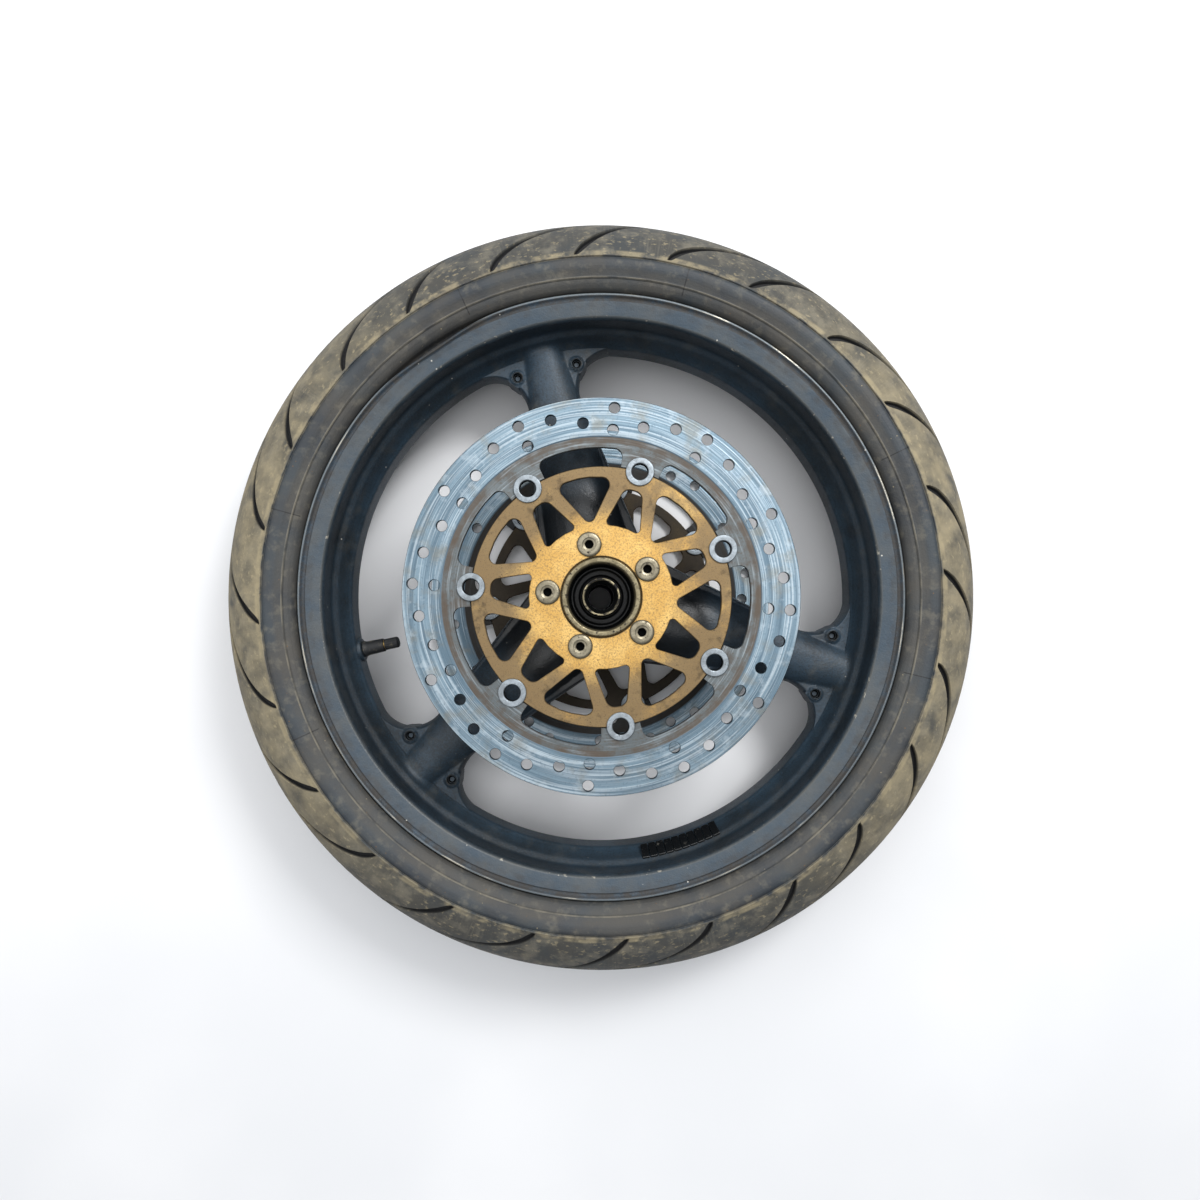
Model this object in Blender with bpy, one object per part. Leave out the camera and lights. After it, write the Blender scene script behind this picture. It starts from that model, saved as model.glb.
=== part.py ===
"""Front motorcycle wheel lying on its side: cast three-spoke rim, radial tyre and twin floating brake discs.

The wheel's axle is the Z axis and the rim's middle plane is z = 0. The left side, towards +Z, is modelled
once. The right side is the same pieces turned half a turn about the line through one pair of disc bolts.
Lengths are in metres.
"""

import math

import bmesh
import bpy
from mathutils import Matrix, Vector

# Clearances
GAP = 0.0003  # between faces that touch on the real wheel
RUNNING_GAP = 0.0004  # between balls and tracks, seal and collar, bead and rim

# Rim, a 17 inch by 3.5 inch section
SEAT_RADIUS = 0.2180  # where the tyre beads sit
FLANGE_HEIGHT = 0.0133  # bead seat to the top of the lip
INSIDE_WIDTH = 0.0889  # between the flanges
FLANGE_THICKNESS = 0.00655
WELL_DEPTH = 0.0120  # bead seat down to the floor of the well
WELL_HALF_WIDTH = 0.0095
RIM_WALL = 0.0045
SEAT_WALL = 0.0055
SHOULDER_HALF_WIDTH = 0.0240  # where the well's slope meets the bead seat
SLOPE_END = 0.0260  # the same on the hub side
BEAD_SEAT_TAPER = 0.0005  # fall of the bead seat towards the well
LIP_ROUND = 0.0020  # bevel on the tyre side of the lip
LIP_CHAMFER = 0.0006  # bevel on its outer edge
BAND_SLANT = 0.0045  # how far the lip's outer face falls back towards the hub
BAND_DEPTH = 0.0035  # from the bead seat in to that face's inner edge
BAND_TURN = 0.0030  # from there on to the hub-side surface
RING_STEPS = 40

# Tyre, 120/70 section
SECTION_HEIGHT = 0.0820
TYRE_WIDTH = 0.1220
TREAD_THICKNESS = 0.0090
SIDEWALL_THICKNESS = 0.0075
BEAD_WIDTH = 0.0130
BEAD_TAPER = 0.62  # width of the bead at the lip, as a share of that at the seat
SHOULDER_FALL = 0.0100  # from the tread's edge in to the widest place
SIDEWALL_WAIST = 0.0030  # how far the sidewall is narrower halfway to the lip
LIP_CLEARANCE = 0.0027  # from the lip out to the sidewall over it
BEAD_OVERHANG = 0.0040  # how far the sidewall stands over the flange there
INNER_EDGE_SHARE = 0.9  # tread edge angle inside the tyre, as a share of that outside
TREAD_EDGE_ANGLE = math.radians(68)
TREAD_BULGE = 0.0010  # excess of the tread arc's radius over half the width
TREAD_STEPS = 3

# Spokes
SPOKE_COUNT = 3
SPOKE_ANGLE = math.radians(103.3)
SPOKE_EDGE = 0.0235  # half width of the spoke and its web where the disc's edge crosses it
SPOKE_EDGE_AT = 0.1520
SPOKE_EDGE_TAPER = 0.17  # growth of the half width per unit of length towards the hub
OPENING_FILLET = 0.0300
OPENING_HUB_FILLET = 0.0150
WEB_HALF_THICKNESS = 0.0110
CROWN_RIM_HALF_WIDTH = 0.0165
CROWN_HUB_HALF_WIDTH = 0.0330
CROWN_RIM_HALF_HEIGHT = 0.0190
CROWN_HUB_HALF_HEIGHT = 0.0250
CROWN_SQUARENESS = 3.0
CROWN_SHOULDER = 0.0100  # from the hub flange out to the crown's widest section
CROWN_FREE_END = 0.0040  # from the rim's wall in to its last free section
CROWN_ROOT = 0.85  # half width at its root, as a share of the root's distance
CROWN_STEPS = 12
CORE_HOLE_RADIUS = 0.0034
CORE_BOSS_RADIUS = 0.0060
CORE_BOSS_RISE = 0.0015
CORE_HOLE_CIRCLE = 0.1900
CORE_HOLE_ANGLE = math.radians(7.4)

# Axle line: bearings are 20 x 47 x 14
AXLE_BORE_RADIUS = 0.0101
BEARING_RADIUS = 0.0235
BEARING_WIDTH = 0.0140
BEARING_START = 0.0250  # inner face of the bearing, from the middle plane
RACE_THICKNESS = 0.0033
BALL_COUNT = 8
BALL_RADIUS = 0.0036
TRACK_HALF_ANGLE = math.radians(36)
CAGE_HALF_WIDTH = 0.0012
CAGE_HALF_THICKNESS = 0.0008
SEAL_WIDTH = 0.0060
SEAL_RIM = 0.0020  # width of the seal's outer ring
SEAL_SLOPE = 0.0010
SEAL_DISH = 0.0015  # depth of its face between ring and lip
SEAL_LIP_WIDTH = 0.0015
COLLAR_RADIUS = 0.01425
COLLAR_RECESS_RADIUS = 0.0128
COLLAR_RECESS_DEPTH = 0.0030
COLLAR_STEP_RADIUS = 0.0112
COLLAR_STEP_DEPTH = 0.0020
COLLAR_BELOW_LIP = 0.0028
BEARING_STEPS = 16

# Hub
HUB_LIP_RADIUS = 0.0300
HUB_LIP_RISE = 0.0028  # beyond the carrier's outer face
HUB_RECESS_RADIUS = 0.0250
HUB_BODY_RADIUS = 0.0450
HUB_BODY_HALF_LENGTH = 0.0380
HUB_FLANGE_RADIUS = 0.0500
HUB_FLANGE_THICKNESS = 0.0095
BEARING_LEDGE = 0.0025  # height of the ledge behind each bearing
HUB_STEPS = 24

# Brake discs
DISC_PLANE = 0.0550  # middle of each disc, from the middle of the wheel
DISC_RADIUS = 0.1500
DISC_THICKNESS = 0.0045
DISC_STEPS = 48
BOBBIN_COUNT = 7
BOBBIN_CIRCLE = 0.09825
BOBBIN_ANGLE = math.radians(21.4)
WINDOW_REACH = 0.01425  # from the bobbin circle out to the windows' outer edge
TAB_HALF_ANGLE = math.radians(8.6)
WINDOW_FILLET = 0.0075
BAND_MARGIN = 0.0080  # plain ring between the windows and the swept band
DRILL_RADIUS = 0.00425
DRILL_POSITIONS = 36
DRILL_ANGLE = math.radians(26)
DRILL_ROWS = (0.186, 0.366, 0.593, 0.746)  # places across the swept band, from its inner edge
DRILL_STEPS = 6

# Disc carriers
CARRIER_THICKNESS = 0.0050
CARRIER_RIM_WIDTH = 0.0078
CARRIER_PLATE_RADIUS = 0.0545
LARGE_WINDOW_HALF_ANGLE = math.radians(14.6)
LARGE_WINDOW_TIP = 0.0535
SMALL_WINDOW_END = 0.0145  # from the bobbin circle in to the small windows' outer end
SMALL_WINDOW_END_HALF_WIDTH = 0.0068
SMALL_WINDOW_HALF_ANGLE = math.radians(14.8)
CARRIER_FILLET = 0.0045
CARRIER_BORE_GAP = 0.0005

# Bobbins
BOBBIN_RADIUS = 0.0077
BOBBIN_FLANGE_RADIUS = 0.0107
BOBBIN_FLANGE_THICKNESS = 0.0014
BOBBIN_BORE_RADIUS = 0.0060
BOBBIN_STEPS = 8

# Disc bolts, M8
BOLT_COUNT = 5
BOLT_CIRCLE = 0.0404
BOLT_ANGLE = math.radians(103)
BOLT_SHANK_RADIUS = 0.0039
BOLT_HEAD_RADIUS = 0.0090
BOLT_HEAD_HEIGHT = 0.0022
BOLT_SOCKET_FLATS = 0.0060
BOLT_SOCKET_DEPTH = 0.0035
BOLT_HEAD_TOP = 0.78  # flat top of the head, as a share of its radius
BOLT_HEAD_SIDE = 0.55  # straight side of the head, as a share of its height
BOLT_REACH = 0.0100  # into the hub
BOLT_STEPS = 10

# Tyre valve
VALVE_ANGLE = math.radians(192.2)
VALVE_NECK_RADIUS = 0.0056
VALVE_BULB_RADIUS = 0.0082
VALVE_BULB_LENGTH = 0.0052
VALVE_FOOT_RADIUS = 0.0068
VALVE_TIP_RADIUS = 0.0054
VALVE_RUBBER_LENGTH = 0.0200
VALVE_TUBE_RADIUS = 0.0037
VALVE_TUBE_BORE = 0.0022
VALVE_TUBE_LENGTH = 0.0300
VALVE_BOSS_RADIUS = 0.0100
VALVE_BOSS_RISE = 0.0026
VALVE_CORE_RADIUS = 0.0019
VALVE_CORE_LENGTH = 0.0080
VALVE_PIN_RADIUS = 0.0006
VALVE_PIN_HEAD_RADIUS = 0.0013
VALVE_PIN_HEAD = 0.0010
VALVE_PIN_RISE = 0.0004  # how far the pin stands out of the core
VALVE_CORE_SUNK = 0.0006  # from the tube's end down to the core
VALVE_TUBE_SUNK = 0.0005  # from the bulb's end down to the tube
VALVE_SEAT_WIDTH = 0.0020  # how much the bulb narrows to its end
VALVE_TAPER = 0.0003
VALVE_CAP_RADIUS = 0.0046
VALVE_CAP_END = 0.0012
VALVE_CAP_ROOM = 0.0008  # inside the cap, beyond the tube's end
VALVE_CAP_BEVEL = 0.0009
VALVE_STEPS = 8

# Stick-on balance weights
WEIGHT_START = math.radians(-81)
WEIGHT_FACETS = 2
WEIGHT_THICKNESS = 0.0035
WEIGHT_LOW = 0.15  # share of the slope's length where the strip starts
WEIGHT_HIGH = 0.90

# Sizes that follow from those above
TURN = 2 * math.pi
RIM_FACET = TURN / RING_STEPS
HALF_INSIDE = INSIDE_WIDTH / 2
RIM_HALF_WIDTH = HALF_INSIDE + FLANGE_THICKNESS
LIP_RADIUS = SEAT_RADIUS + FLANGE_HEIGHT
WELL_RADIUS = SEAT_RADIUS - WELL_DEPTH
WELL_INNER_RADIUS = WELL_RADIUS - RIM_WALL
SEAT_INNER_RADIUS = SEAT_RADIUS - SEAT_WALL
TYRE_RADIUS = SEAT_RADIUS + SECTION_HEIGHT
TREAD_ARC_RADIUS = TYRE_WIDTH / 2 + TREAD_BULGE
TREAD_ARC_CENTRE = TYRE_RADIUS - TREAD_ARC_RADIUS
CARRIER_FACE = DISC_PLANE + CARRIER_THICKNESS / 2
CARRIER_BACK = DISC_PLANE - CARRIER_THICKNESS / 2
CARRIER_RADIUS = BOBBIN_CIRCLE - 0.0002
TAB_RADIUS = BOBBIN_CIRCLE + 0.0004
NOTCH_RADIUS = BOBBIN_RADIUS + GAP
WINDOW_OUTER_RADIUS = BOBBIN_CIRCLE + WINDOW_REACH
BAND_INNER_RADIUS = WINDOW_OUTER_RADIUS + BAND_MARGIN
BOBBIN_STEP = TURN / BOBBIN_COUNT
HUB_FLANGE_FACE = CARRIER_BACK - GAP
HUB_LIP_FACE = CARRIER_FACE + HUB_LIP_RISE
BEARING_SEAT_RADIUS = BEARING_RADIUS + GAP
BEARING_END = BEARING_START + BEARING_WIDTH
SEAL_START = BEARING_END + GAP
SEAL_END = SEAL_START + SEAL_WIDTH
COLLAR_START = BEARING_END + GAP
COLLAR_END = HUB_LIP_FACE - COLLAR_BELOW_LIP
BALL_CIRCLE = (BEARING_RADIUS + AXLE_BORE_RADIUS) / 2
SHAFT_SHOULDER_RADIUS = AXLE_BORE_RADIUS + RACE_THICKNESS
HOLE_RADIUS = BOLT_SHANK_RADIUS + GAP


def clear_scene():
    for obj in list(bpy.data.objects):
        bpy.data.objects.remove(obj, do_unlink=True)


def finish_of(name, colour, metallic, roughness):
    """A Principled material with one colour, metallic value and roughness."""
    material = bpy.data.materials.new(name)
    material.use_nodes = True
    shader = material.node_tree.nodes["Principled BSDF"]
    shader.inputs["Base Color"].default_value = (*colour, 1.0)
    shader.inputs["Metallic"].default_value = metallic
    shader.inputs["Roughness"].default_value = roughness
    return material


def object_of(name, bm, material=None, sharp_angle=math.radians(35)):
    """Turns a bmesh into a smooth-shaded object of the scene."""
    bmesh.ops.recalc_face_normals(bm, faces=bm.faces)
    mesh = bpy.data.meshes.new(name)
    bm.to_mesh(mesh)
    bm.free()
    mesh.shade_smooth()
    mesh.set_sharp_from_angle(angle=sharp_angle)
    if material:
        mesh.materials.append(material)
    obj = bpy.data.objects.new(name, mesh)
    bpy.context.scene.collection.objects.link(obj)
    return obj


def helper(obj):
    """Marks a cutter or a tool body, which isn't a piece of the wheel."""
    obj.hide_render = True
    obj.display_type = "WIRE"
    return obj


def combine(target, tool, operation):
    modifier = target.modifiers.new(tool.name, "BOOLEAN")
    modifier.operation = operation
    modifier.object = helper(tool)


def baked(obj):
    """The object's mesh with its modifiers carried out."""
    graph = bpy.context.evaluated_depsgraph_get()
    mesh = bpy.data.meshes.new_from_object(obj.evaluated_get(graph))
    mesh.name = obj.name
    return mesh


def copy_of(mesh, name, parent, location=(0, 0, 0), turned_by=0.0):
    obj = bpy.data.objects.new(name, mesh)
    bpy.context.scene.collection.objects.link(obj)
    obj.parent = parent
    obj.location = location
    obj.rotation_euler = (0, 0, turned_by)
    return obj


def polar(radius, angle):
    return Vector((radius * math.cos(angle), radius * math.sin(angle)))


def arc(centre, radius, start, end, steps):
    """Points of an arc about a centre, both ends included."""
    return [centre + polar(radius, start + (end - start) * i / steps) for i in range(steps + 1)]


def circle(centre, radius, steps):
    return arc(centre, radius, 0, TURN, steps)[:-1]


def hole(centre, radius, steps):
    """A polygon that a circle of this radius fits inside."""
    return circle(centre, radius / math.cos(math.pi / steps), steps)


def rounded(corners, steps):
    """An outline whose corners, given as (point, radius), are rounded by arcs that touch both edges."""
    outline = []
    for i, (corner, radius) in enumerate(corners):
        if radius == 0:
            outline.append(corner)
            continue
        back = (corners[i - 1][0] - corner).normalized()
        ahead = (corners[(i + 1) % len(corners)][0] - corner).normalized()
        half_angle = math.acos(back.dot(ahead)) / 2
        reach = radius / math.tan(half_angle)
        centre = corner + (back + ahead).normalized() * radius / math.sin(half_angle)
        first = corner + back * reach - centre
        last = corner + ahead * reach - centre
        start = math.atan2(first.y, first.x)
        sweep = (math.atan2(last.y, last.x) - start + math.pi) % TURN - math.pi
        outline += arc(centre, radius, start, start + sweep, steps)
    return outline


def add_prism(bm, outline, low, high):
    """Adds an outline extruded along Z."""
    loop = [bm.verts.new((point.x, point.y, low)) for point in outline]
    floor = bm.faces.new(loop)
    top = bmesh.ops.extrude_face_region(bm, geom=[floor])["geom"]
    raised = [item for item in top if isinstance(item, bmesh.types.BMVert)]
    bmesh.ops.translate(bm, verts=raised, vec=(0, 0, high - low))


def add_turned(bm, profile, steps, matrix=Matrix.Identity(4)):
    """Adds a closed profile of (radius, height) points, spun once round the Z axis."""
    ring = [bm.verts.new((radius, 0, height)) for radius, height in profile]
    edges = [bm.edges.new((ring[i - 1], ring[i])) for i in range(len(ring))]
    old = set(bm.verts) - set(ring)
    bmesh.ops.spin(
        bm,
        geom=ring + edges,
        axis=(0, 0, 1),
        cent=(0, 0, 0),
        angle=TURN,
        steps=steps,
        use_merge=True,
    )
    fresh = [vert for vert in bm.verts if vert not in old]
    on_axis = [vert for vert in fresh if vert.co.xy.length < 1e-7]
    bmesh.ops.remove_doubles(bm, verts=on_axis, dist=1e-6)
    bmesh.ops.dissolve_degenerate(bm, dist=1e-7, edges=bm.edges)
    fresh = [vert for vert in bm.verts if vert not in old]
    bmesh.ops.transform(bm, matrix=matrix, verts=fresh)


def prism(name, outline, low, high, material=None):
    bm = bmesh.new()
    add_prism(bm, outline, low, high)
    return object_of(name, bm, material)


def turned(name, profile, steps, material=None):
    bm = bmesh.new()
    add_turned(bm, profile, steps)
    return object_of(name, bm, material)


def mirrored(half):
    """A closed profile from its upper half, which starts and ends next to the middle plane."""
    return half + [(radius, -height) for radius, height in reversed(half) if height > 0]


def slope_radius(height):
    """Radius of the rim's hub-side surface at a height within the well and its slope."""
    share = (abs(height) - WELL_HALF_WIDTH) / (SLOPE_END - WELL_HALF_WIDTH)
    return WELL_INNER_RADIUS + (SEAT_INNER_RADIUS - WELL_INNER_RADIUS) * min(max(share, 0.0), 1.0)


def spoke_angles():
    return [SPOKE_ANGLE + TURN * k / SPOKE_COUNT for k in range(SPOKE_COUNT)]


# Wheel casting


def rim_profile():
    """Half section of the rim: well, bead seat, flange and lip, then back along the hub side."""
    return mirrored(
        [
            (WELL_RADIUS, WELL_HALF_WIDTH),
            (SEAT_RADIUS - BEAD_SEAT_TAPER, SHOULDER_HALF_WIDTH),
            (SEAT_RADIUS, HALF_INSIDE),
            (LIP_RADIUS - LIP_ROUND, HALF_INSIDE),
            (LIP_RADIUS, HALF_INSIDE + LIP_ROUND),
            (LIP_RADIUS, RIM_HALF_WIDTH - LIP_CHAMFER),
            (LIP_RADIUS - LIP_CHAMFER, RIM_HALF_WIDTH),
            (SEAT_RADIUS - BAND_DEPTH, RIM_HALF_WIDTH - BAND_SLANT),
            (SEAT_INNER_RADIUS, RIM_HALF_WIDTH - BAND_SLANT - BAND_TURN),
            (SEAT_INNER_RADIUS, SLOPE_END),
            (WELL_INNER_RADIUS, WELL_HALF_WIDTH),
        ]
    )


def opening_outline():
    """One opening between two spokes, for a spoke along +X and the next one TURN / SPOKE_COUNT round.

    A spoke's edge is the line y = offset - taper * x. The outer fillet touches that line and the rim, and
    the inner one touches it and its mirror image on the next spoke.
    """
    middle = TURN / SPOKE_COUNT / 2
    offset = SPOKE_EDGE + SPOKE_EDGE_TAPER * SPOKE_EDGE_AT
    slant = math.hypot(1, SPOKE_EDGE_TAPER)
    lean = math.atan(SPOKE_EDGE_TAPER)
    rim_radius = WELL_INNER_RADIUS + RIM_WALL * 0.2
    outer_reach = rim_radius - OPENING_FILLET
    outer_angle = math.asin((offset + OPENING_FILLET * slant) / (outer_reach * slant)) - lean
    towards_middle = SPOKE_EDGE_TAPER * math.cos(middle) + math.sin(middle)
    inner_reach = (offset + OPENING_HUB_FILLET * slant) / towards_middle
    towards_edge = -math.pi / 2 - lean
    half = arc(polar(inner_reach, middle), OPENING_HUB_FILLET, middle - math.pi, towards_edge, 2)
    half += arc(polar(outer_reach, outer_angle), OPENING_FILLET, towards_edge, outer_angle, 4)
    half += arc(Vector((0, 0)), rim_radius, outer_angle, middle, 4)[1:]
    axis = polar(1, middle)
    other = [2 * point.dot(axis) * axis - point for point in reversed(half[1:-1])]
    return half + other


def rotated(outline, angle):
    turn = Matrix.Rotation(angle, 2)
    return [turn @ point for point in outline]


def web():
    """The flat plate between hub and rim, left as three spokes by the openings."""
    outer = arc(Vector((0, 0)), WELL_INNER_RADIUS + RIM_WALL * 0.5, 0, TURN, RING_STEPS)[:-1]
    plate = prism("web_plate", outer, -WEB_HALF_THICKNESS, WEB_HALF_THICKNESS)
    bm = bmesh.new()
    for angle in spoke_angles():
        add_prism(bm, rotated(opening_outline(), angle), -RIM_HALF_WIDTH, RIM_HALF_WIDTH)
    hub_hole = arc(Vector((0, 0)), (BEARING_SEAT_RADIUS + HUB_BODY_RADIUS) / 2, 0, TURN, HUB_STEPS)[:-1]
    add_prism(bm, hub_hole, -RIM_HALF_WIDTH, RIM_HALF_WIDTH)
    combine(plate, object_of("spoke_openings", bm), "DIFFERENCE")
    return plate


def crown_sections():
    """Distance from the axle, half width and half height of each spoke's raised crown."""
    start = (BEARING_SEAT_RADIUS + HUB_BODY_RADIUS) / 2
    shoulder = HUB_FLANGE_RADIUS + CROWN_SHOULDER
    rim = WELL_INNER_RADIUS - CROWN_FREE_END
    return [
        (start, start * CROWN_ROOT, CROWN_HUB_HALF_HEIGHT),
        (shoulder, CROWN_HUB_HALF_WIDTH, CROWN_HUB_HALF_HEIGHT),
        (rim, CROWN_RIM_HALF_WIDTH, CROWN_RIM_HALF_HEIGHT),
    ]


def add_crown(bm, angle):
    """Adds a spoke's crown: rounded sections along the spoke, the last one sunk in the rim's wall."""
    power = 2 / CROWN_SQUARENESS
    turn = Matrix.Rotation(angle, 3, "Z")
    rings = []
    sections = crown_sections()
    for distance, half_width, half_height in sections + [sections[-1]]:
        ring = []
        for i in range(CROWN_STEPS):
            side = math.cos(TURN * (i + 0.5) / CROWN_STEPS)
            rise = math.sin(TURN * (i + 0.5) / CROWN_STEPS)
            y = half_width * math.copysign(abs(side) ** power, side)
            z = half_height * math.copysign(abs(rise) ** power, rise)
            x = distance
            if len(rings) == len(sections):
                x = math.sqrt((slope_radius(z) + RIM_WALL * 0.5) ** 2 - y * y)
            ring.append(bm.verts.new(turn @ Vector((x, y, z))))
        rings.append(ring)
    for near, far in zip(rings, rings[1:]):
        for i in range(CROWN_STEPS):
            bm.faces.new((near[i - 1], near[i], far[i], far[i - 1]))
    bm.faces.new(rings[0])
    bm.faces.new(rings[-1])


def hub_profile():
    """Half section of the hub: its body, disc flange and lip, then the recess and bearing seat."""
    return mirrored(
        [
            (HUB_BODY_RADIUS, HUB_BODY_HALF_LENGTH),
            (HUB_FLANGE_RADIUS, HUB_FLANGE_FACE - HUB_FLANGE_THICKNESS),
            (HUB_FLANGE_RADIUS, HUB_FLANGE_FACE),
            (HUB_LIP_RADIUS, HUB_FLANGE_FACE),
            (HUB_LIP_RADIUS, HUB_LIP_FACE),
            (HUB_RECESS_RADIUS, HUB_LIP_FACE),
            (HUB_RECESS_RADIUS, SEAL_END),
            (BEARING_SEAT_RADIUS, SEAL_END),
            (BEARING_SEAT_RADIUS, BEARING_START - GAP),
            (BEARING_RADIUS - BEARING_LEDGE, BEARING_START - GAP),
        ]
    )


def core_hole_centres():
    angles = [angle + side * CORE_HOLE_ANGLE for angle in spoke_angles() for side in (-1, 1)]
    return [polar(CORE_HOLE_CIRCLE, angle) for angle in angles]


def valve_matrix():
    """Places a piece whose +Z points from the well's hub-side surface towards the axle."""
    seat = polar(WELL_INNER_RADIUS, VALVE_ANGLE)
    turn = Matrix.Rotation(VALVE_ANGLE, 4, "Z") @ Matrix.Rotation(-math.pi / 2, 4, "Y")
    return Matrix.Translation((seat.x, seat.y, 0)) @ turn


def casting_bosses():
    bm = bmesh.new()
    height = WEB_HALF_THICKNESS + CORE_BOSS_RISE
    for centre in core_hole_centres():
        add_prism(bm, circle(centre, CORE_BOSS_RADIUS, 8), -height, height)
    root = -RIM_WALL * 0.6
    boss = [
        (0, root),
        (VALVE_BOSS_RADIUS, root),
        (VALVE_BOSS_RADIUS * 0.9, VALVE_BOSS_RISE),
        (0, VALVE_BOSS_RISE),
    ]
    add_turned(bm, boss, VALVE_STEPS, valve_matrix())
    return object_of("casting_bosses", bm)


def casting_holes():
    bm = bmesh.new()
    height = WEB_HALF_THICKNESS + 2 * CORE_BOSS_RISE
    for centre in core_hole_centres():
        add_prism(bm, hole(centre, CORE_HOLE_RADIUS, 6), -height, height)
    for k in range(BOLT_COUNT):
        centre = polar(BOLT_CIRCLE, BOLT_ANGLE + TURN * k / BOLT_COUNT)
        outline = hole(centre, HOLE_RADIUS, 8)
        bottom = HUB_FLANGE_FACE - BOLT_REACH - GAP
        add_prism(bm, outline, bottom, HUB_FLANGE_FACE + GAP)
        add_prism(bm, outline, -HUB_FLANGE_FACE - GAP, -bottom)
    neck = (VALVE_NECK_RADIUS + GAP) / math.cos(math.pi / VALVE_STEPS)
    low, high = -2 * RIM_WALL, 2 * VALVE_BOSS_RISE
    bore = [(0, low), (neck, low), (neck, high), (0, high)]
    add_turned(bm, bore, VALVE_STEPS, valve_matrix())
    return object_of("casting_holes", bm)


def make_casting(material):
    casting = turned("wheel_casting", rim_profile(), RING_STEPS, material)
    combine(casting, web(), "UNION")
    combine(casting, turned("hub_body", hub_profile(), HUB_STEPS), "UNION")
    bm = bmesh.new()
    for angle in spoke_angles():
        add_crown(bm, angle)
    combine(casting, object_of("spoke_crowns", bm), "UNION")
    combine(casting, casting_bosses(), "UNION")
    combine(casting, casting_holes(), "DIFFERENCE")


# Tyre


def tread_arc(depth, start, end):
    """Points of the tread's cross section, or of one a depth inside it, between two angles from the crown."""
    radius = TREAD_ARC_RADIUS - depth
    points = []
    for i in range(TREAD_STEPS):
        angle = start + (end - start) * i / (TREAD_STEPS - 1)
        points.append((TREAD_ARC_CENTRE + radius * math.cos(angle), radius * math.sin(angle)))
    return points


def make_tyre(material):
    """A horseshoe section: tread arc, sidewall, bead round the flange, and the same again inside."""
    seat = SEAT_RADIUS + RUNNING_GAP
    bead_heel = HALF_INSIDE - GAP
    half_width = TYRE_WIDTH / 2
    edge_radius = TREAD_ARC_CENTRE + TREAD_ARC_RADIUS * math.cos(TREAD_EDGE_ANGLE)
    first_step = TREAD_EDGE_ANGLE / TREAD_STEPS
    widest = edge_radius - SHOULDER_FALL
    lip_clear = LIP_RADIUS + LIP_CLEARANCE
    waist = (widest + lip_clear) / 2
    bead_toe = bead_heel - BEAD_WIDTH
    half = [(TYRE_RADIUS, 0)]
    half += tread_arc(0, first_step, TREAD_EDGE_ANGLE)
    half += [
        (widest, half_width),
        (waist, half_width - SIDEWALL_WAIST),
        (lip_clear, HALF_INSIDE + BEAD_OVERHANG),
        (LIP_RADIUS - LIP_ROUND, bead_heel),
        (seat, bead_heel),
        (seat, bead_toe),
        (LIP_RADIUS - LIP_ROUND, bead_heel - BEAD_WIDTH * BEAD_TAPER),
        (waist, half_width - SIDEWALL_WAIST - SIDEWALL_THICKNESS),
    ]
    half += reversed(tread_arc(TREAD_THICKNESS, first_step, TREAD_EDGE_ANGLE * INNER_EDGE_SHARE))
    half += [(TYRE_RADIUS - TREAD_THICKNESS, 0)]
    turned("tyre", mirrored(half), RING_STEPS, material)


# Axle line


def race_groove(outward):
    """The ball track across a race, as (radius, height) points from +Z to -Z about the bearing's middle."""
    radius = BALL_RADIUS + RUNNING_GAP
    angles = (TRACK_HALF_ANGLE, 0, -TRACK_HALF_ANGLE)
    return [(BALL_CIRCLE + outward * radius * math.cos(a), radius * math.sin(a)) for a in angles]


def make_bearing_meshes(steel):
    """Outer race, inner race and the ring of balls in their cage, about the bearing's middle."""
    half = BEARING_WIDTH / 2
    track_inner = race_groove(-1)
    track_outer = race_groove(1)
    outer_bore = BEARING_RADIUS - RACE_THICKNESS
    outer = [(outer_bore, -half), (BEARING_RADIUS, -half), (BEARING_RADIUS, half), (outer_bore, half)]
    inner_face = AXLE_BORE_RADIUS + RACE_THICKNESS
    inner = [(inner_face, half), (AXLE_BORE_RADIUS, half), (AXLE_BORE_RADIUS, -half), (inner_face, -half)]
    outer_race = turned("outer_race_pattern", outer + track_outer, BEARING_STEPS, steel)
    inner_race = turned("inner_race_pattern", inner + list(reversed(track_inner)), BEARING_STEPS, steel)
    low, high = BALL_CIRCLE - CAGE_HALF_THICKNESS, BALL_CIRCLE + CAGE_HALF_THICKNESS
    width = CAGE_HALF_WIDTH
    ring = [(low, -width), (high, -width), (high, width), (low, width)]
    cage = turned("ball_ring_pattern", ring, BEARING_STEPS, steel)
    bm = bmesh.new()
    for k in range(BALL_COUNT):
        place = polar(BALL_CIRCLE, TURN * k / BALL_COUNT)
        matrix = Matrix.Translation((place.x, place.y, 0))
        bmesh.ops.create_uvsphere(bm, u_segments=6, v_segments=4, radius=BALL_RADIUS, matrix=matrix)
    combine(cage, object_of("balls", bm), "UNION")
    return {
        "bearing_outer_race": baked(helper(outer_race)),
        "bearing_inner_race": baked(helper(inner_race)),
        "bearing_ball_cage": baked(helper(cage)),
    }


def make_collar_mesh(steel):
    """The spacer collar that the seal runs on, with a stepped recess in its outer end."""
    recess = COLLAR_END - COLLAR_RECESS_DEPTH
    step = recess - COLLAR_STEP_DEPTH
    profile = [
        (AXLE_BORE_RADIUS, COLLAR_START),
        (COLLAR_RADIUS, COLLAR_START),
        (COLLAR_RADIUS, COLLAR_END),
        (COLLAR_RECESS_RADIUS, COLLAR_END),
        (COLLAR_RECESS_RADIUS, recess),
        (COLLAR_STEP_RADIUS, recess),
        (COLLAR_STEP_RADIUS, step),
        (AXLE_BORE_RADIUS, step),
    ]
    return baked(helper(turned("collar_pattern", profile, BEARING_STEPS, steel)))


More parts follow.
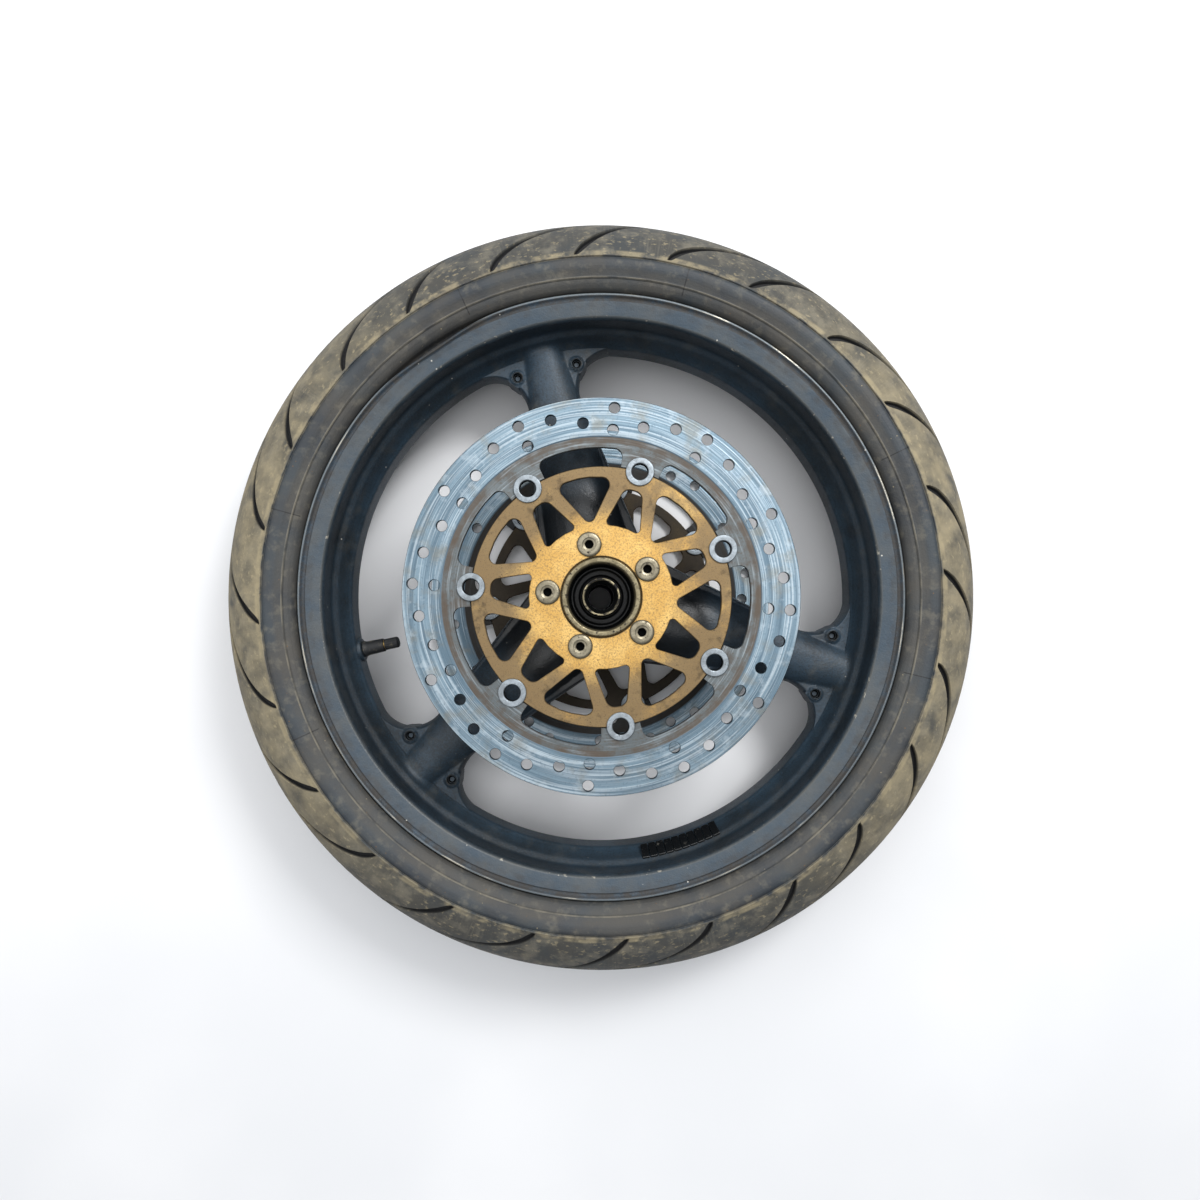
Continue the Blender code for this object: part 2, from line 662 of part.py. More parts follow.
def make_seal_mesh(rubber):
    """The dust seal, pressed in beside the bearing, with its lip raised near the collar."""
    lip = COLLAR_RADIUS + RUNNING_GAP
    rim = BEARING_RADIUS - SEAL_RIM
    profile = [
        (lip, SEAL_START),
        (BEARING_RADIUS, SEAL_START),
        (BEARING_RADIUS, SEAL_END),
        (rim, SEAL_END),
        (rim - SEAL_SLOPE, SEAL_END - SEAL_DISH),
        (lip + SEAL_LIP_WIDTH, SEAL_END - SEAL_DISH),
        (lip, SEAL_END),
    ]
    return baked(helper(turned("seal_pattern", profile, BEARING_STEPS, rubber)))


def make_axle_line(sides, finishes):
    half = BEARING_START - GAP
    bore = AXLE_BORE_RADIUS
    outside = SHAFT_SHOULDER_RADIUS
    profile = [(bore, -half), (outside, -half), (outside, half), (bore, half)]
    turned("distance_tube", profile, BEARING_STEPS, finishes["steel"])
    bearing = make_bearing_meshes(finishes["steel"])
    collar = make_collar_mesh(finishes["steel"])
    seal = make_seal_mesh(finishes["rubber"])
    middle = BEARING_START + BEARING_WIDTH / 2
    for side, parent in sides.items():
        for piece, mesh in bearing.items():
            copy_of(mesh, f"{side}_{piece}", parent, (0, 0, middle))
        copy_of(collar, f"{side}_collar", parent)
        copy_of(seal, f"{side}_dust_seal", parent)


# Brake discs


def disc_inner_outline():
    """The rotor's inner edge: tabs that reach in to the bobbins, with a rounded window between each two."""
    corners = []
    for k in range(BOBBIN_COUNT):
        tab = BOBBIN_ANGLE + BOBBIN_STEP * k
        start = tab + TAB_HALF_ANGLE
        end = tab + BOBBIN_STEP - TAB_HALF_ANGLE
        corners += [(polar(TAB_RADIUS, tab), 0), (polar(TAB_RADIUS, start), 0)]
        edge = arc(Vector((0, 0)), WINDOW_OUTER_RADIUS, start, end, 3)
        corners += [(edge[0], WINDOW_FILLET), (edge[1], 0), (edge[2], 0), (edge[3], WINDOW_FILLET)]
        corners += [(polar(TAB_RADIUS, end), 0)]
    return rounded(corners, 2)


def drill_centres():
    """Cooling holes every ten degrees: a pair of holes, then one in, one out, turn and turn about."""
    width = DISC_RADIUS - BAND_INNER_RADIUS
    rows = [BAND_INNER_RADIUS + width * row for row in DRILL_ROWS]
    centres = []
    for k in range(DRILL_POSITIONS):
        angle = DRILL_ANGLE + TURN * k / DRILL_POSITIONS
        group, place = divmod(k, 3)
        if place == 0:
            chosen = (rows[0], rows[3])
        else:
            chosen = (rows[1 if (group + place) % 2 else 2],)
        centres += [polar(radius, angle) for radius in chosen]
    return centres


def add_notches(bm, half_height):
    for k in range(BOBBIN_COUNT):
        centre = polar(BOBBIN_CIRCLE, BOBBIN_ANGLE + BOBBIN_STEP * k)
        add_prism(bm, hole(centre, NOTCH_RADIUS, BOBBIN_STEPS), -half_height, half_height)


def make_rotor_mesh(steel):
    half = DISC_THICKNESS / 2
    outer = circle(Vector((0, 0)), DISC_RADIUS, DISC_STEPS)
    rotor = prism("rotor_pattern", outer, -half, half, steel)
    inner = prism("rotor_inner_edge", disc_inner_outline(), -2 * half, 2 * half)
    combine(rotor, inner, "DIFFERENCE")
    bm = bmesh.new()
    for centre in drill_centres():
        add_prism(bm, hole(centre, DRILL_RADIUS, DRILL_STEPS), -2 * half, 2 * half)
    add_notches(bm, 2 * half)
    combine(rotor, object_of("rotor_holes", bm), "DIFFERENCE")
    return baked(helper(rotor))


def carrier_windows():
    """The carrier's windows: a large one between bobbins and a small one below each bobbin."""
    outer = BOBBIN_CIRCLE - CARRIER_RIM_WIDTH
    end = BOBBIN_CIRCLE - SMALL_WINDOW_END
    end_half_angle = math.atan(SMALL_WINDOW_END_HALF_WIDTH / end)
    windows = []
    for k in range(BOBBIN_COUNT):
        bobbin = BOBBIN_ANGLE + BOBBIN_STEP * k
        between = bobbin + BOBBIN_STEP / 2
        start = between - LARGE_WINDOW_HALF_ANGLE
        rim = arc(Vector((0, 0)), outer, start, between + LARGE_WINDOW_HALF_ANGLE, 3)
        large = [(rim[0], CARRIER_FILLET), (rim[1], 0), (rim[2], 0), (rim[3], CARRIER_FILLET)]
        large += [(polar(LARGE_WINDOW_TIP, between), CARRIER_FILLET)]
        windows.append(rounded(large, 2))
        small = [
            (polar(end, bobbin - end_half_angle), CARRIER_FILLET),
            (polar(end, bobbin + end_half_angle), CARRIER_FILLET),
            (polar(CARRIER_PLATE_RADIUS, bobbin + SMALL_WINDOW_HALF_ANGLE), CARRIER_FILLET * 0.5),
            (polar(CARRIER_PLATE_RADIUS, bobbin), 0),
            (polar(CARRIER_PLATE_RADIUS, bobbin - SMALL_WINDOW_HALF_ANGLE), CARRIER_FILLET * 0.5),
        ]
        windows.append(rounded(small, 2))
    return windows


def make_carrier_mesh(gold):
    half = CARRIER_THICKNESS / 2
    carrier = prism("carrier_pattern", circle(Vector((0, 0)), CARRIER_RADIUS, DISC_STEPS), -half, half, gold)
    bm = bmesh.new()
    for outline in carrier_windows():
        add_prism(bm, outline, -2 * half, 2 * half)
    add_prism(bm, hole(Vector((0, 0)), HUB_LIP_RADIUS + CARRIER_BORE_GAP, HUB_STEPS), -2 * half, 2 * half)
    for k in range(BOLT_COUNT):
        centre = polar(BOLT_CIRCLE, BOLT_ANGLE + TURN * k / BOLT_COUNT)
        add_prism(bm, hole(centre, HOLE_RADIUS, 8), -2 * half, 2 * half)
    add_notches(bm, 2 * half)
    combine(carrier, object_of("carrier_holes", bm), "DIFFERENCE")
    return baked(helper(carrier))


def make_bobbin_mesh(steel):
    """A hollow rivet that holds rotor and carrier together, with a flange over each face."""
    groove = max(DISC_THICKNESS, CARRIER_THICKNESS) / 2 + GAP
    end = groove + BOBBIN_FLANGE_THICKNESS
    profile = mirrored(
        [
            (BOBBIN_RADIUS, groove),
            (BOBBIN_FLANGE_RADIUS, groove),
            (BOBBIN_FLANGE_RADIUS, end),
            (BOBBIN_BORE_RADIUS, end),
        ]
    )
    return baked(helper(turned("bobbin_pattern", profile, BOBBIN_STEPS, steel)))


def make_bolt_mesh(steel):
    """A low-head socket bolt; its origin is on the axis at the underside of the head."""
    shoulder = BOLT_HEAD_HEIGHT * BOLT_HEAD_SIDE
    tip = -(CARRIER_THICKNESS + 2 * GAP + BOLT_REACH - GAP)
    profile = [
        (0, tip),
        (BOLT_SHANK_RADIUS, tip),
        (BOLT_SHANK_RADIUS, 0),
        (BOLT_HEAD_RADIUS, 0),
        (BOLT_HEAD_RADIUS, shoulder),
        (BOLT_HEAD_RADIUS * BOLT_HEAD_TOP, BOLT_HEAD_HEIGHT),
        (0, BOLT_HEAD_HEIGHT),
    ]
    bolt = turned("bolt_pattern", profile, BOLT_STEPS, steel)
    hexagon = circle(Vector((0, 0)), BOLT_SOCKET_FLATS / 2 / math.cos(math.pi / 6), 6)
    floor = BOLT_HEAD_HEIGHT - BOLT_SOCKET_DEPTH
    combine(bolt, prism("bolt_socket", hexagon, floor, 2 * BOLT_HEAD_HEIGHT), "DIFFERENCE")
    return baked(helper(bolt))


def make_brakes(sides, finishes):
    rotor = make_rotor_mesh(finishes["disc"])
    carrier = make_carrier_mesh(finishes["gold"])
    bobbin = make_bobbin_mesh(finishes["steel"])
    bolt = make_bolt_mesh(finishes["steel"])
    for side, parent in sides.items():
        copy_of(rotor, f"{side}_rotor", parent, (0, 0, DISC_PLANE))
        copy_of(carrier, f"{side}_carrier", parent, (0, 0, DISC_PLANE))
        for k in range(BOBBIN_COUNT):
            angle = BOBBIN_ANGLE + BOBBIN_STEP * k
            place = polar(BOBBIN_CIRCLE, angle)
            copy_of(bobbin, f"{side}_bobbin_{k + 1}", parent, (place.x, place.y, DISC_PLANE), angle)
        for k in range(BOLT_COUNT):
            angle = BOLT_ANGLE + TURN * k / BOLT_COUNT
            place = polar(BOLT_CIRCLE, angle)
            copy_of(bolt, f"{side}_disc_bolt_{k + 1}", parent, (place.x, place.y, CARRIER_FACE + GAP), angle)


# Valve and balance weights


def make_valve(finishes):
    """A snap-in valve. Heights run from the well's hub-side surface towards the axle."""
    tyre_side = -RIM_WALL - GAP
    bulb_end = tyre_side - VALVE_BULB_LENGTH
    rubber_bore = VALVE_TUBE_RADIUS + GAP
    collar = VALVE_BOSS_RISE + GAP
    tube_start = bulb_end + VALVE_TUBE_SUNK
    core_end = VALVE_TUBE_LENGTH - VALVE_CORE_SUNK
    core_start = core_end - VALVE_CORE_LENGTH
    rubber = [
        (rubber_bore, bulb_end),
        (VALVE_BULB_RADIUS - VALVE_SEAT_WIDTH, bulb_end),
        (VALVE_BULB_RADIUS, tyre_side),
        (VALVE_NECK_RADIUS, tyre_side),
        (VALVE_NECK_RADIUS, collar),
        (VALVE_FOOT_RADIUS, collar),
        (VALVE_TIP_RADIUS + VALVE_TAPER, VALVE_RUBBER_LENGTH / 2),
        (VALVE_TIP_RADIUS, VALVE_RUBBER_LENGTH),
        (rubber_bore, VALVE_RUBBER_LENGTH),
    ]
    tube = [
        (VALVE_TUBE_BORE, tube_start),
        (VALVE_TUBE_RADIUS, tube_start),
        (VALVE_TUBE_RADIUS, VALVE_TUBE_LENGTH),
        (VALVE_TUBE_BORE, VALVE_TUBE_LENGTH),
    ]
    core_bore = VALVE_PIN_RADIUS + GAP
    core = [
        (core_bore, core_start),
        (VALVE_CORE_RADIUS, core_start),
        (VALVE_CORE_RADIUS, core_end),
        (core_bore, core_end),
    ]
    pin_start = core_start - GAP - VALVE_PIN_HEAD
    pin_end = core_end + VALVE_PIN_RISE
    pin = [
        (0, pin_start),
        (VALVE_PIN_HEAD_RADIUS, pin_start),
        (VALVE_PIN_HEAD_RADIUS, core_start - GAP),
        (VALVE_PIN_RADIUS, core_start - GAP),
        (VALVE_PIN_RADIUS, pin_end),
        (0, pin_end),
    ]
    cap_bore = VALVE_TUBE_RADIUS + GAP
    cap_start = VALVE_RUBBER_LENGTH + GAP * 2
    cap_roof = VALVE_TUBE_LENGTH + VALVE_CAP_ROOM
    cap_end = cap_roof + VALVE_CAP_END
    cap = [
        (cap_bore, cap_start),
        (VALVE_CAP_RADIUS, cap_start),
        (VALVE_CAP_RADIUS, cap_end - VALVE_CAP_BEVEL),
        (VALVE_CAP_RADIUS - VALVE_CAP_BEVEL, cap_end),
        (0, cap_end),
        (0, cap_roof),
        (cap_bore, cap_roof),
    ]
    pieces = {
        "valve_rubber": (rubber, "rubber"),
        "valve_tube": (tube, "brass"),
        "valve_core": (core, "brass"),
        "valve_pin": (pin, "brass"),
        "valve_cap": (cap, "rubber"),
    }
    for name, (profile, finish) in pieces.items():
        turned(name, profile, VALVE_STEPS, finishes[finish]).matrix_world = valve_matrix()


def make_weights(lead):
    """A strip of stick-on weights on the upper slope of the rim, one flat facet of the rim at a time."""
    foot = Vector((WELL_INNER_RADIUS, WELL_HALF_WIDTH))
    slope = Vector((SEAT_INNER_RADIUS, SLOPE_END)) - foot
    off = Vector((-slope.y, slope.x)).normalized()
    top = GAP + WEIGHT_THICKNESS
    corners = ((WEIGHT_LOW, GAP), (WEIGHT_HIGH, GAP), (WEIGHT_HIGH, top), (WEIGHT_LOW, top))
    section = [foot + slope * share + off * lift for share, lift in corners]
    bm = bmesh.new()
    ring = [bm.verts.new((point.x, 0, point.y)) for point in section]
    start = bm.faces.new(ring)
    bmesh.ops.rotate(bm, verts=ring, cent=(0, 0, 0), matrix=Matrix.Rotation(WEIGHT_START, 3, "Z"))
    bmesh.ops.spin(
        bm,
        geom=[start],
        axis=(0, 0, 1),
        cent=(0, 0, 0),
        angle=WEIGHT_FACETS * RIM_FACET,
        steps=WEIGHT_FACETS,
    )
    object_of("balance_weights", bm, lead)


def make_sides():
    """An empty for each side. The right one is the left turned over about the line through a disc bolt."""
    sides = {}
    to_line = Matrix.Rotation(BOLT_ANGLE, 4, "Z")
    flip = to_line @ Matrix.Rotation(math.pi, 4, "X") @ to_line.inverted()
    for side, matrix in (("left", Matrix.Identity(4)), ("right", flip)):
        empty = bpy.data.objects.new(f"{side}_side", None)
        bpy.context.scene.collection.objects.link(empty)
        empty.matrix_world = matrix
        sides[side] = empty
    return sides


def main():
    clear_scene()
    finishes = {
        "paint": finish_of("wheel_paint", (0.03, 0.05, 0.08), 0.3, 0.4),
        "tyre": finish_of("tyre_rubber", (0.035, 0.036, 0.038), 0.0, 0.8),
        "disc": finish_of("disc_steel", (0.55, 0.60, 0.66), 1.0, 0.35),
        "gold": finish_of("gold_anodising", (0.62, 0.38, 0.10), 0.8, 0.45),
        "steel": finish_of("bright_steel", (0.60, 0.60, 0.58), 1.0, 0.35),
        "rubber": finish_of("black_rubber", (0.02, 0.02, 0.02), 0.0, 0.7),
        "brass": finish_of("brass", (0.70, 0.52, 0.25), 1.0, 0.35),
        "lead": finish_of("weight_lead", (0.05, 0.05, 0.05), 0.2, 0.7),
    }
    sides = make_sides()
    make_casting(finishes["paint"])
    make_tyre(finishes["tyre"])
    make_axle_line(sides, finishes)
    make_brakes(sides, finishes)
    make_valve(finishes)
    make_weights(finishes["lead"])


main()
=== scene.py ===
"""Looks for a motorcycle front wheel that lies on its side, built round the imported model.

Every length is in metres and every angle in radians. The axle is the Z axis, the rim's middle plane is z = 0
and the left side faces up. A shape is a function of two parameters on a grid, or a flat outline given a
thickness, and each side's brake pieces are made once and turned over for the other side.
"""

import functools
import logging
import math
from collections.abc import Callable, Iterable
from dataclasses import dataclass, field
from enum import Enum

import bmesh
import bpy
import numpy as np
from mathutils import Matrix, Vector


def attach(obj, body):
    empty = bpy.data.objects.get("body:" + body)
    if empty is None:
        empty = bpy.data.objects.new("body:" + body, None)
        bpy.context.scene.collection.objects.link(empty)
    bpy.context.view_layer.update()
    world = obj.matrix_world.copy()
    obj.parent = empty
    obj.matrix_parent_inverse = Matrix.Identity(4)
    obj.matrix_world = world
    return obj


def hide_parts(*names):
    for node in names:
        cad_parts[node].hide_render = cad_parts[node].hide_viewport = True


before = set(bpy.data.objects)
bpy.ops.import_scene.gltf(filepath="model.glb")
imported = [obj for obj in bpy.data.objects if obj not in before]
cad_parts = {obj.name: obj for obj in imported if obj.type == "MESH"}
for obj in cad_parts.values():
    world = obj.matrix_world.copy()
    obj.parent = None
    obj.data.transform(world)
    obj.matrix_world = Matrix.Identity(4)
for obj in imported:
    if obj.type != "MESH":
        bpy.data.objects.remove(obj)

log = logging.getLogger("wheel")

TURN = 2 * math.pi
MM = 0.001

Array = np.ndarray
Socket = bpy.types.NodeSocket
Value = float | tuple[float, ...] | Socket


class Side(Enum):
    """The two faces of the wheel."""

    LEFT = "left"
    RIGHT = "right"


class Noise(Enum):
    """Kinds of irregular pattern."""

    CLOUDS = "ShaderNodeTexNoise"
    SPOTS = "ShaderNodeTexVoronoi"


# Arrays and meshes


def linear(hex_colour: str) -> tuple[float, float, float, float]:
    """Turns an sRGB colour into the linear one that shaders take.

    Args:
        hex_colour: Six hexadecimal digits.

    Returns:
        Red, green, blue and alpha.
    """
    srgb = np.array([int(hex_colour[i : i + 2], 16) for i in (0, 2, 4)]) / 255
    low = srgb / 12.92
    high = ((srgb + 0.055) / 1.055) ** 2.4
    return (*np.where(srgb <= 0.04045, low, high).tolist(), 1.0)


def smooth_step(value: Array, low: float, high: float) -> Array:
    """Rises from 0 at low to 1 at high along the curve 3t² − 2t³, with t the share of the way."""
    t = np.clip((value - low) / (high - low), 0, 1)
    return t * t * (3 - 2 * t)


def smooth_max(first: Array, second: Array, reach: float) -> Array:
    """The larger of two heights, with a fillet where they are within reach of each other.

    The fillet adds overlap² × reach / 4, where overlap is 1 − |difference| / reach and never under 0.

    Args:
        first: One height field.
        second: The other one.
        reach: The difference at which the fillet ends.

    Returns:
        The blended height field.
    """
    overlap = np.clip(1 - np.abs(first - second) / reach, 0, None)
    return np.maximum(first, second) + overlap**2 * reach / 4


def softened(corners: Iterable[tuple[float, float, float]], steps: int = 5) -> Array:
    """Rounds the corners of a closed outline.

    Each corner is replaced by the parabola (1−t)²A + 2t(1−t)C + t²B, where C is the corner and A and B lie on
    its two edges at the corner's own distance from it, and no further than just under half of the edge.

    Args:
        corners: x, y and rounding distance of each corner.
        steps: Pieces in each rounded corner.

    Returns:
        The points of the outline, one row each.
    """
    table = np.array(list(corners), float)
    corner, size = table[:, :2], table[:, 2:]
    back = np.roll(corner, 1, axis=0) - corner
    ahead = np.roll(corner, -1, axis=0) - corner
    back_length = np.linalg.norm(back, axis=1, keepdims=True)
    ahead_length = np.linalg.norm(ahead, axis=1, keepdims=True)
    reach = np.minimum(size, 0.49 * np.minimum(back_length, ahead_length))
    start = corner + back / back_length * reach
    end = corner + ahead / ahead_length * reach
    t = np.linspace(0, 1, steps + 1)[None, :, None]
    curve = (1 - t) ** 2 * start[:, None] + 2 * t * (1 - t) * corner[:, None] + t**2 * end[:, None]
    points = curve.reshape(-1, 2)
    keep = np.linalg.norm(points - np.roll(points, 1, axis=0), axis=1) > 1e-7
    return points[keep]


def rounded(corners: Iterable[tuple[float, float, float]], steps: int = 6) -> Array:
    """Rounds the corners of a closed outline, each given as x, y and a radius.

    Each corner becomes the arc of that radius which touches both of its edges, or a smaller one where an edge
    is too short. With h half the angle between the edges, the arc's centre lies on the bisector at a distance
    of radius / sin h from the corner, and the arc turns through a half turn less 2h.

    Args:
        corners: x, y and radius of each corner.
        steps: Pieces in each arc.

    Returns:
        The points of the outline, one row each.
    """
    table = np.array(list(corners), float)
    corner = table[:, :2]
    back = np.roll(corner, 1, axis=0) - corner
    ahead = np.roll(corner, -1, axis=0) - corner
    back_length = np.linalg.norm(back, axis=1, keepdims=True)
    ahead_length = np.linalg.norm(ahead, axis=1, keepdims=True)
    back, ahead = back / back_length, ahead / ahead_length
    half = np.arccos(np.clip((back * ahead).sum(axis=1, keepdims=True), -1, 1)) / 2
    radius = np.minimum(table[:, 2:], 0.49 * np.minimum(back_length, ahead_length) * np.tan(half))
    inward, across = back + ahead, ahead - back
    inward = inward / (np.linalg.norm(inward, axis=1, keepdims=True) + 1e-12)
    across = across / np.linalg.norm(across, axis=1, keepdims=True)
    centre = corner + inward * radius / np.sin(half)
    turn = ((math.pi / 2 - half) * np.linspace(-1, 1, steps + 1))[..., None]
    arcs = across[:, None] * np.sin(turn) - inward[:, None] * np.cos(turn)
    points = (centre[:, None] + radius[:, None] * arcs).reshape(-1, 2)
    return points[np.linalg.norm(points - np.roll(points, 1, axis=0), axis=1) > 1e-7]


def mirrored(half: list[tuple[float, float, float]]) -> list[tuple[float, float, float]]:
    """Completes a closed (radius, height, rounding) section from its upper half."""
    return half + [(radius, -height, size) for radius, height, size in reversed(half)]


def refined(points: Array, spacing: float, closed: bool = True) -> Array:
    """Adds points along an outline so that no two neighbours are further apart than spacing.

    Args:
        points: The outline, one row each.
        spacing: The largest distance left.
        closed: Whether the last point joins the first.

    Returns:
        The outline with the added points.
    """
    start = points if closed else points[:-1]
    end = np.roll(points, -1, axis=0) if closed else points[1:]
    counts = np.maximum(np.ceil(np.linalg.norm(end - start, axis=1) / spacing).astype(int), 1)
    which = np.repeat(np.arange(len(start)), counts)
    since_start = np.arange(counts.sum()) - np.repeat(np.cumsum(counts) - counts, counts)
    share = (since_start / counts[which])[:, None]
    dense = start[which] * (1 - share) + end[which] * share
    return dense if closed else np.vstack([dense, points[-1:]])


def grid_faces(rows: int, columns: int, wrap_rows: bool = True, wrap_columns: bool = True) -> Array:
    """Corner numbers of the four-sided faces of a grid whose vertices are stored row by row.

    Args:
        rows: Number of rows.
        columns: Number of columns.
        wrap_rows: Whether the last row joins the first.
        wrap_columns: Whether the last column joins the first.

    Returns:
        One row of four vertex numbers for each face.
    """
    i = np.arange(rows if wrap_rows else rows - 1)[:, None]
    j = np.arange(columns if wrap_columns else columns - 1)[None, :]
    below, right = (i + 1) % rows, (j + 1) % columns
    corners = (i * columns + j, below * columns + j, below * columns + right, i * columns + right)
    return np.stack(np.broadcast_arrays(*corners), axis=-1).reshape(-1, 4)


@dataclass
class Shell:
    """Vertices and faces that are gathered before they become one object.

    Attributes:
        points: Vertex positions, one row each.
        faces: Vertex numbers of each face.
        marks: Named values for each vertex, which materials read.
    """

    points: Array
    faces: Array
    marks: dict[str, Array] = field(default_factory=dict)

    def placed(self, matrix: Array) -> "Shell":
        """The same shell moved by a 4 × 4 matrix."""
        moved = self.points @ matrix[:3, :3].T + matrix[:3, 3]
        return Shell(moved, self.faces, self.marks)

    def built(self, name: str, sharp_angle: float = math.radians(40)) -> bpy.types.Object:
        """Makes the object. Coincident vertices are merged and normals point out.

        Args:
            name: The object's name.
            sharp_angle: Smallest angle between faces that reads as an edge.

        Returns:
            The new object, which stands at the origin.
        """
        mesh = bpy.data.meshes.new(name)
        mesh.from_pydata(self.points.tolist(), [], self.faces.tolist())
        for mark, values in self.marks.items():
            attribute = mesh.attributes.new(mark, "FLOAT", "POINT")
            attribute.data.foreach_set("value", np.ascontiguousarray(values, np.float32))
        return finished(name, mesh, sharp_angle)


def merged(shells: list[Shell]) -> Shell:
    """Makes one shell of several that have the same marks.

    Args:
        shells: The shells.

    Returns:
        One shell with all their points and faces.
    """
    starts = np.cumsum([0] + [len(shell.points) for shell in shells[:-1]])
    faces = np.concatenate([shell.faces + start for shell, start in zip(shells, starts)])
    marks = {name: np.concatenate([shell.marks[name] for shell in shells]) for name in shells[0].marks}
    return Shell(np.concatenate([shell.points for shell in shells]), faces, marks)


def finished(name: str, mesh: bpy.types.Mesh, sharp_angle: float) -> bpy.types.Object:
    """Cleans a mesh and puts it into the scene as a smooth-shaded object.

    Args:
        name: The object's name.
        mesh: Its mesh, in world coordinates.
        sharp_angle: Smallest angle between faces that reads as an edge.

    Returns:
        The new object.
    """
    bm = bmesh.new()
    bm.from_mesh(mesh)
    bmesh.ops.remove_doubles(bm, verts=bm.verts, dist=2e-6)
    bmesh.ops.dissolve_degenerate(bm, dist=1e-7, edges=bm.edges)
    bmesh.ops.recalc_face_normals(bm, faces=bm.faces)
    bm.to_mesh(mesh)
    bm.free()
    mesh.shade_smooth()
    mesh.set_sharp_from_angle(angle=sharp_angle)
    piece = bpy.data.objects.new(name, mesh)
    bpy.context.scene.collection.objects.link(piece)
    return piece


def lathe(section: Array, segments: int, closed: bool = True, six_sided: Array | None = None) -> Shell:
    """Spins a section round the Z axis.

    A point of the section at radius r and height z becomes (r cos a, r sin a, z) for each angle a. Where a
    row is six-sided, r is divided by the cosine of the angle from the middle of the nearest flat. The mark
    "reach" keeps the distance from the axis.

    Args:
        section: Radius and height of each point.
        segments: Columns round the axis.
        closed: Whether the section's last point joins its first. One with both ends on the axis doesn't.
        six_sided: For each point, 1 where it follows a hexagon and 0 where it follows a circle.

    Returns:
        The turned shell.
    """
    angle = np.linspace(0, TURN, segments, endpoint=False)
    from_flat = (angle + TURN / 12) % (TURN / 6) - TURN / 12
    flags = np.zeros(len(section)) if six_sided is None else six_sided
    radius = section[:, :1] / (1 + flags[:, None] * (np.cos(from_flat) - 1))
    points = round_axle(radius, angle, section[:, 1:2])
    faces = grid_faces(len(section), segments, wrap_rows=closed)
    return Shell(points.reshape(-1, 3), faces, {"reach": radius.ravel()})


def spun(corners: list[tuple[float, float, float]], spacing: float, segments: int) -> Shell:
    """Rounds the (radius, height, rounding) corners of a closed section, refines it and spins it."""
    return lathe(refined(softened(corners, 4), spacing), segments)


def polar(radius: float | Array, angle: float | Array) -> Array:
    """The point or points (r cos a, r sin a)."""
    return np.stack(np.broadcast_arrays(radius * np.cos(angle), radius * np.sin(angle)), axis=-1)


def round_axle(radius: Array, angle: Array, height: Array) -> Array:
    """The points (r cos a, r sin a, z)."""
    arrays = np.broadcast_arrays(radius * np.cos(angle), radius * np.sin(angle), height)
    return np.stack(arrays, axis=-1)


def ring(centre: Array, radius: float, steps: int, start: float = 0, sweep: float = TURN) -> Array:
    """Points of a circle or of an arc about a centre; a whole circle leaves out the repeated last point."""
    whole = abs(sweep) >= TURN
    angle = start + sweep * np.linspace(0, 1, steps if whole else steps + 1, endpoint=not whole)
    return centre + polar(radius, angle)


def plate(name: str, outlines: list[Array], thickness: float, bevel: float,
          matrix: Array) -> bpy.types.Object:
    """Makes a flat piece from an outer outline and the outlines of its holes.

    The outlines bound a filled plane, which is given its thickness, centred on its plane, and a bevel on each
    edge. The bevel stays inside the outlines.

    Args:
        name: The object's name.
        outlines: Closed outlines as (x, y) points, outer and inner ones in any order.
        thickness: From the lower to the upper face.
        bevel: Width and height of the bevelled edges.
        matrix: Where the piece goes.

    Returns:
        The new object.
    """
    curve = bpy.data.curves.new(name, "CURVE")
    curve.dimensions = "2D"
    curve.fill_mode = "BOTH"
    curve.bevel_resolution = 0
    for outline in outlines:
        spline = curve.splines.new("POLY")
        spline.points.add(len(outline) - 1)
        flat = np.column_stack([outline, np.zeros(len(outline)), np.ones(len(outline))])
        spline.points.foreach_set("co", flat.ravel())
        spline.use_cyclic_u = True
    curve.extrude = thickness / 2 - bevel
    curve.bevel_depth = bevel
    curve.offset = -bevel
    pattern = bpy.data.objects.new(name, curve)
    bpy.context.scene.collection.objects.link(pattern)
    graph = bpy.context.evaluated_depsgraph_get()
    mesh = bpy.data.meshes.new_from_object(pattern.evaluated_get(graph))
    bpy.data.objects.remove(pattern)
    bpy.data.curves.remove(curve)
    mesh.transform(Matrix(matrix))
    mesh.name = name
    return finished(name, mesh, math.radians(25))


def placed(turn: float = 0, radius: float = 0, height: float = 0, lean: float = 0) -> Array:
    """The matrix that leans a piece about Y, lifts it, moves it out along X and turns all that about Z.

    Args:
        turn: Angle about the wheel's axis.
        radius: Distance from the axis.
        height: Distance above the middle plane.
        lean: Angle about the piece's own Y axis, taken first.

    Returns:
        A 4 × 4 matrix.
    """
    leaned = np.array([[math.cos(lean), 0, math.sin(lean), radius], [0, 1, 0, 0],
                       [-math.sin(lean), 0, math.cos(lean), height], [0, 0, 0, 1]])
    around = np.eye(4)
    around[:2, :2] = [[math.cos(turn), -math.sin(turn)], [math.sin(turn), math.cos(turn)]]
    return around @ leaned


# Materials


def add(tree: bpy.types.NodeTree, kind: str, inputs: dict[str | int, Value] | None = None,
        out: str | int = 0, **settings: object) -> Socket:
    """Adds one node with its settings and links.

    Args:
        tree: The material's node tree.
        kind: The node's type.
        inputs: Socket names or numbers with the value or the output that each takes.
        out: The output to give back.
        settings: The node's own properties.

    Returns:
        The chosen output.
    """
    node = tree.nodes.new(kind)
    for name, value in settings.items():
        setattr(node, name, value)
    for name, value in (inputs or {}).items():
        if isinstance(value, bpy.types.NodeSocket):
            tree.links.new(value, node.inputs[name])
        else:
            node.inputs[name].default_value = value
    return node.outputs[out]


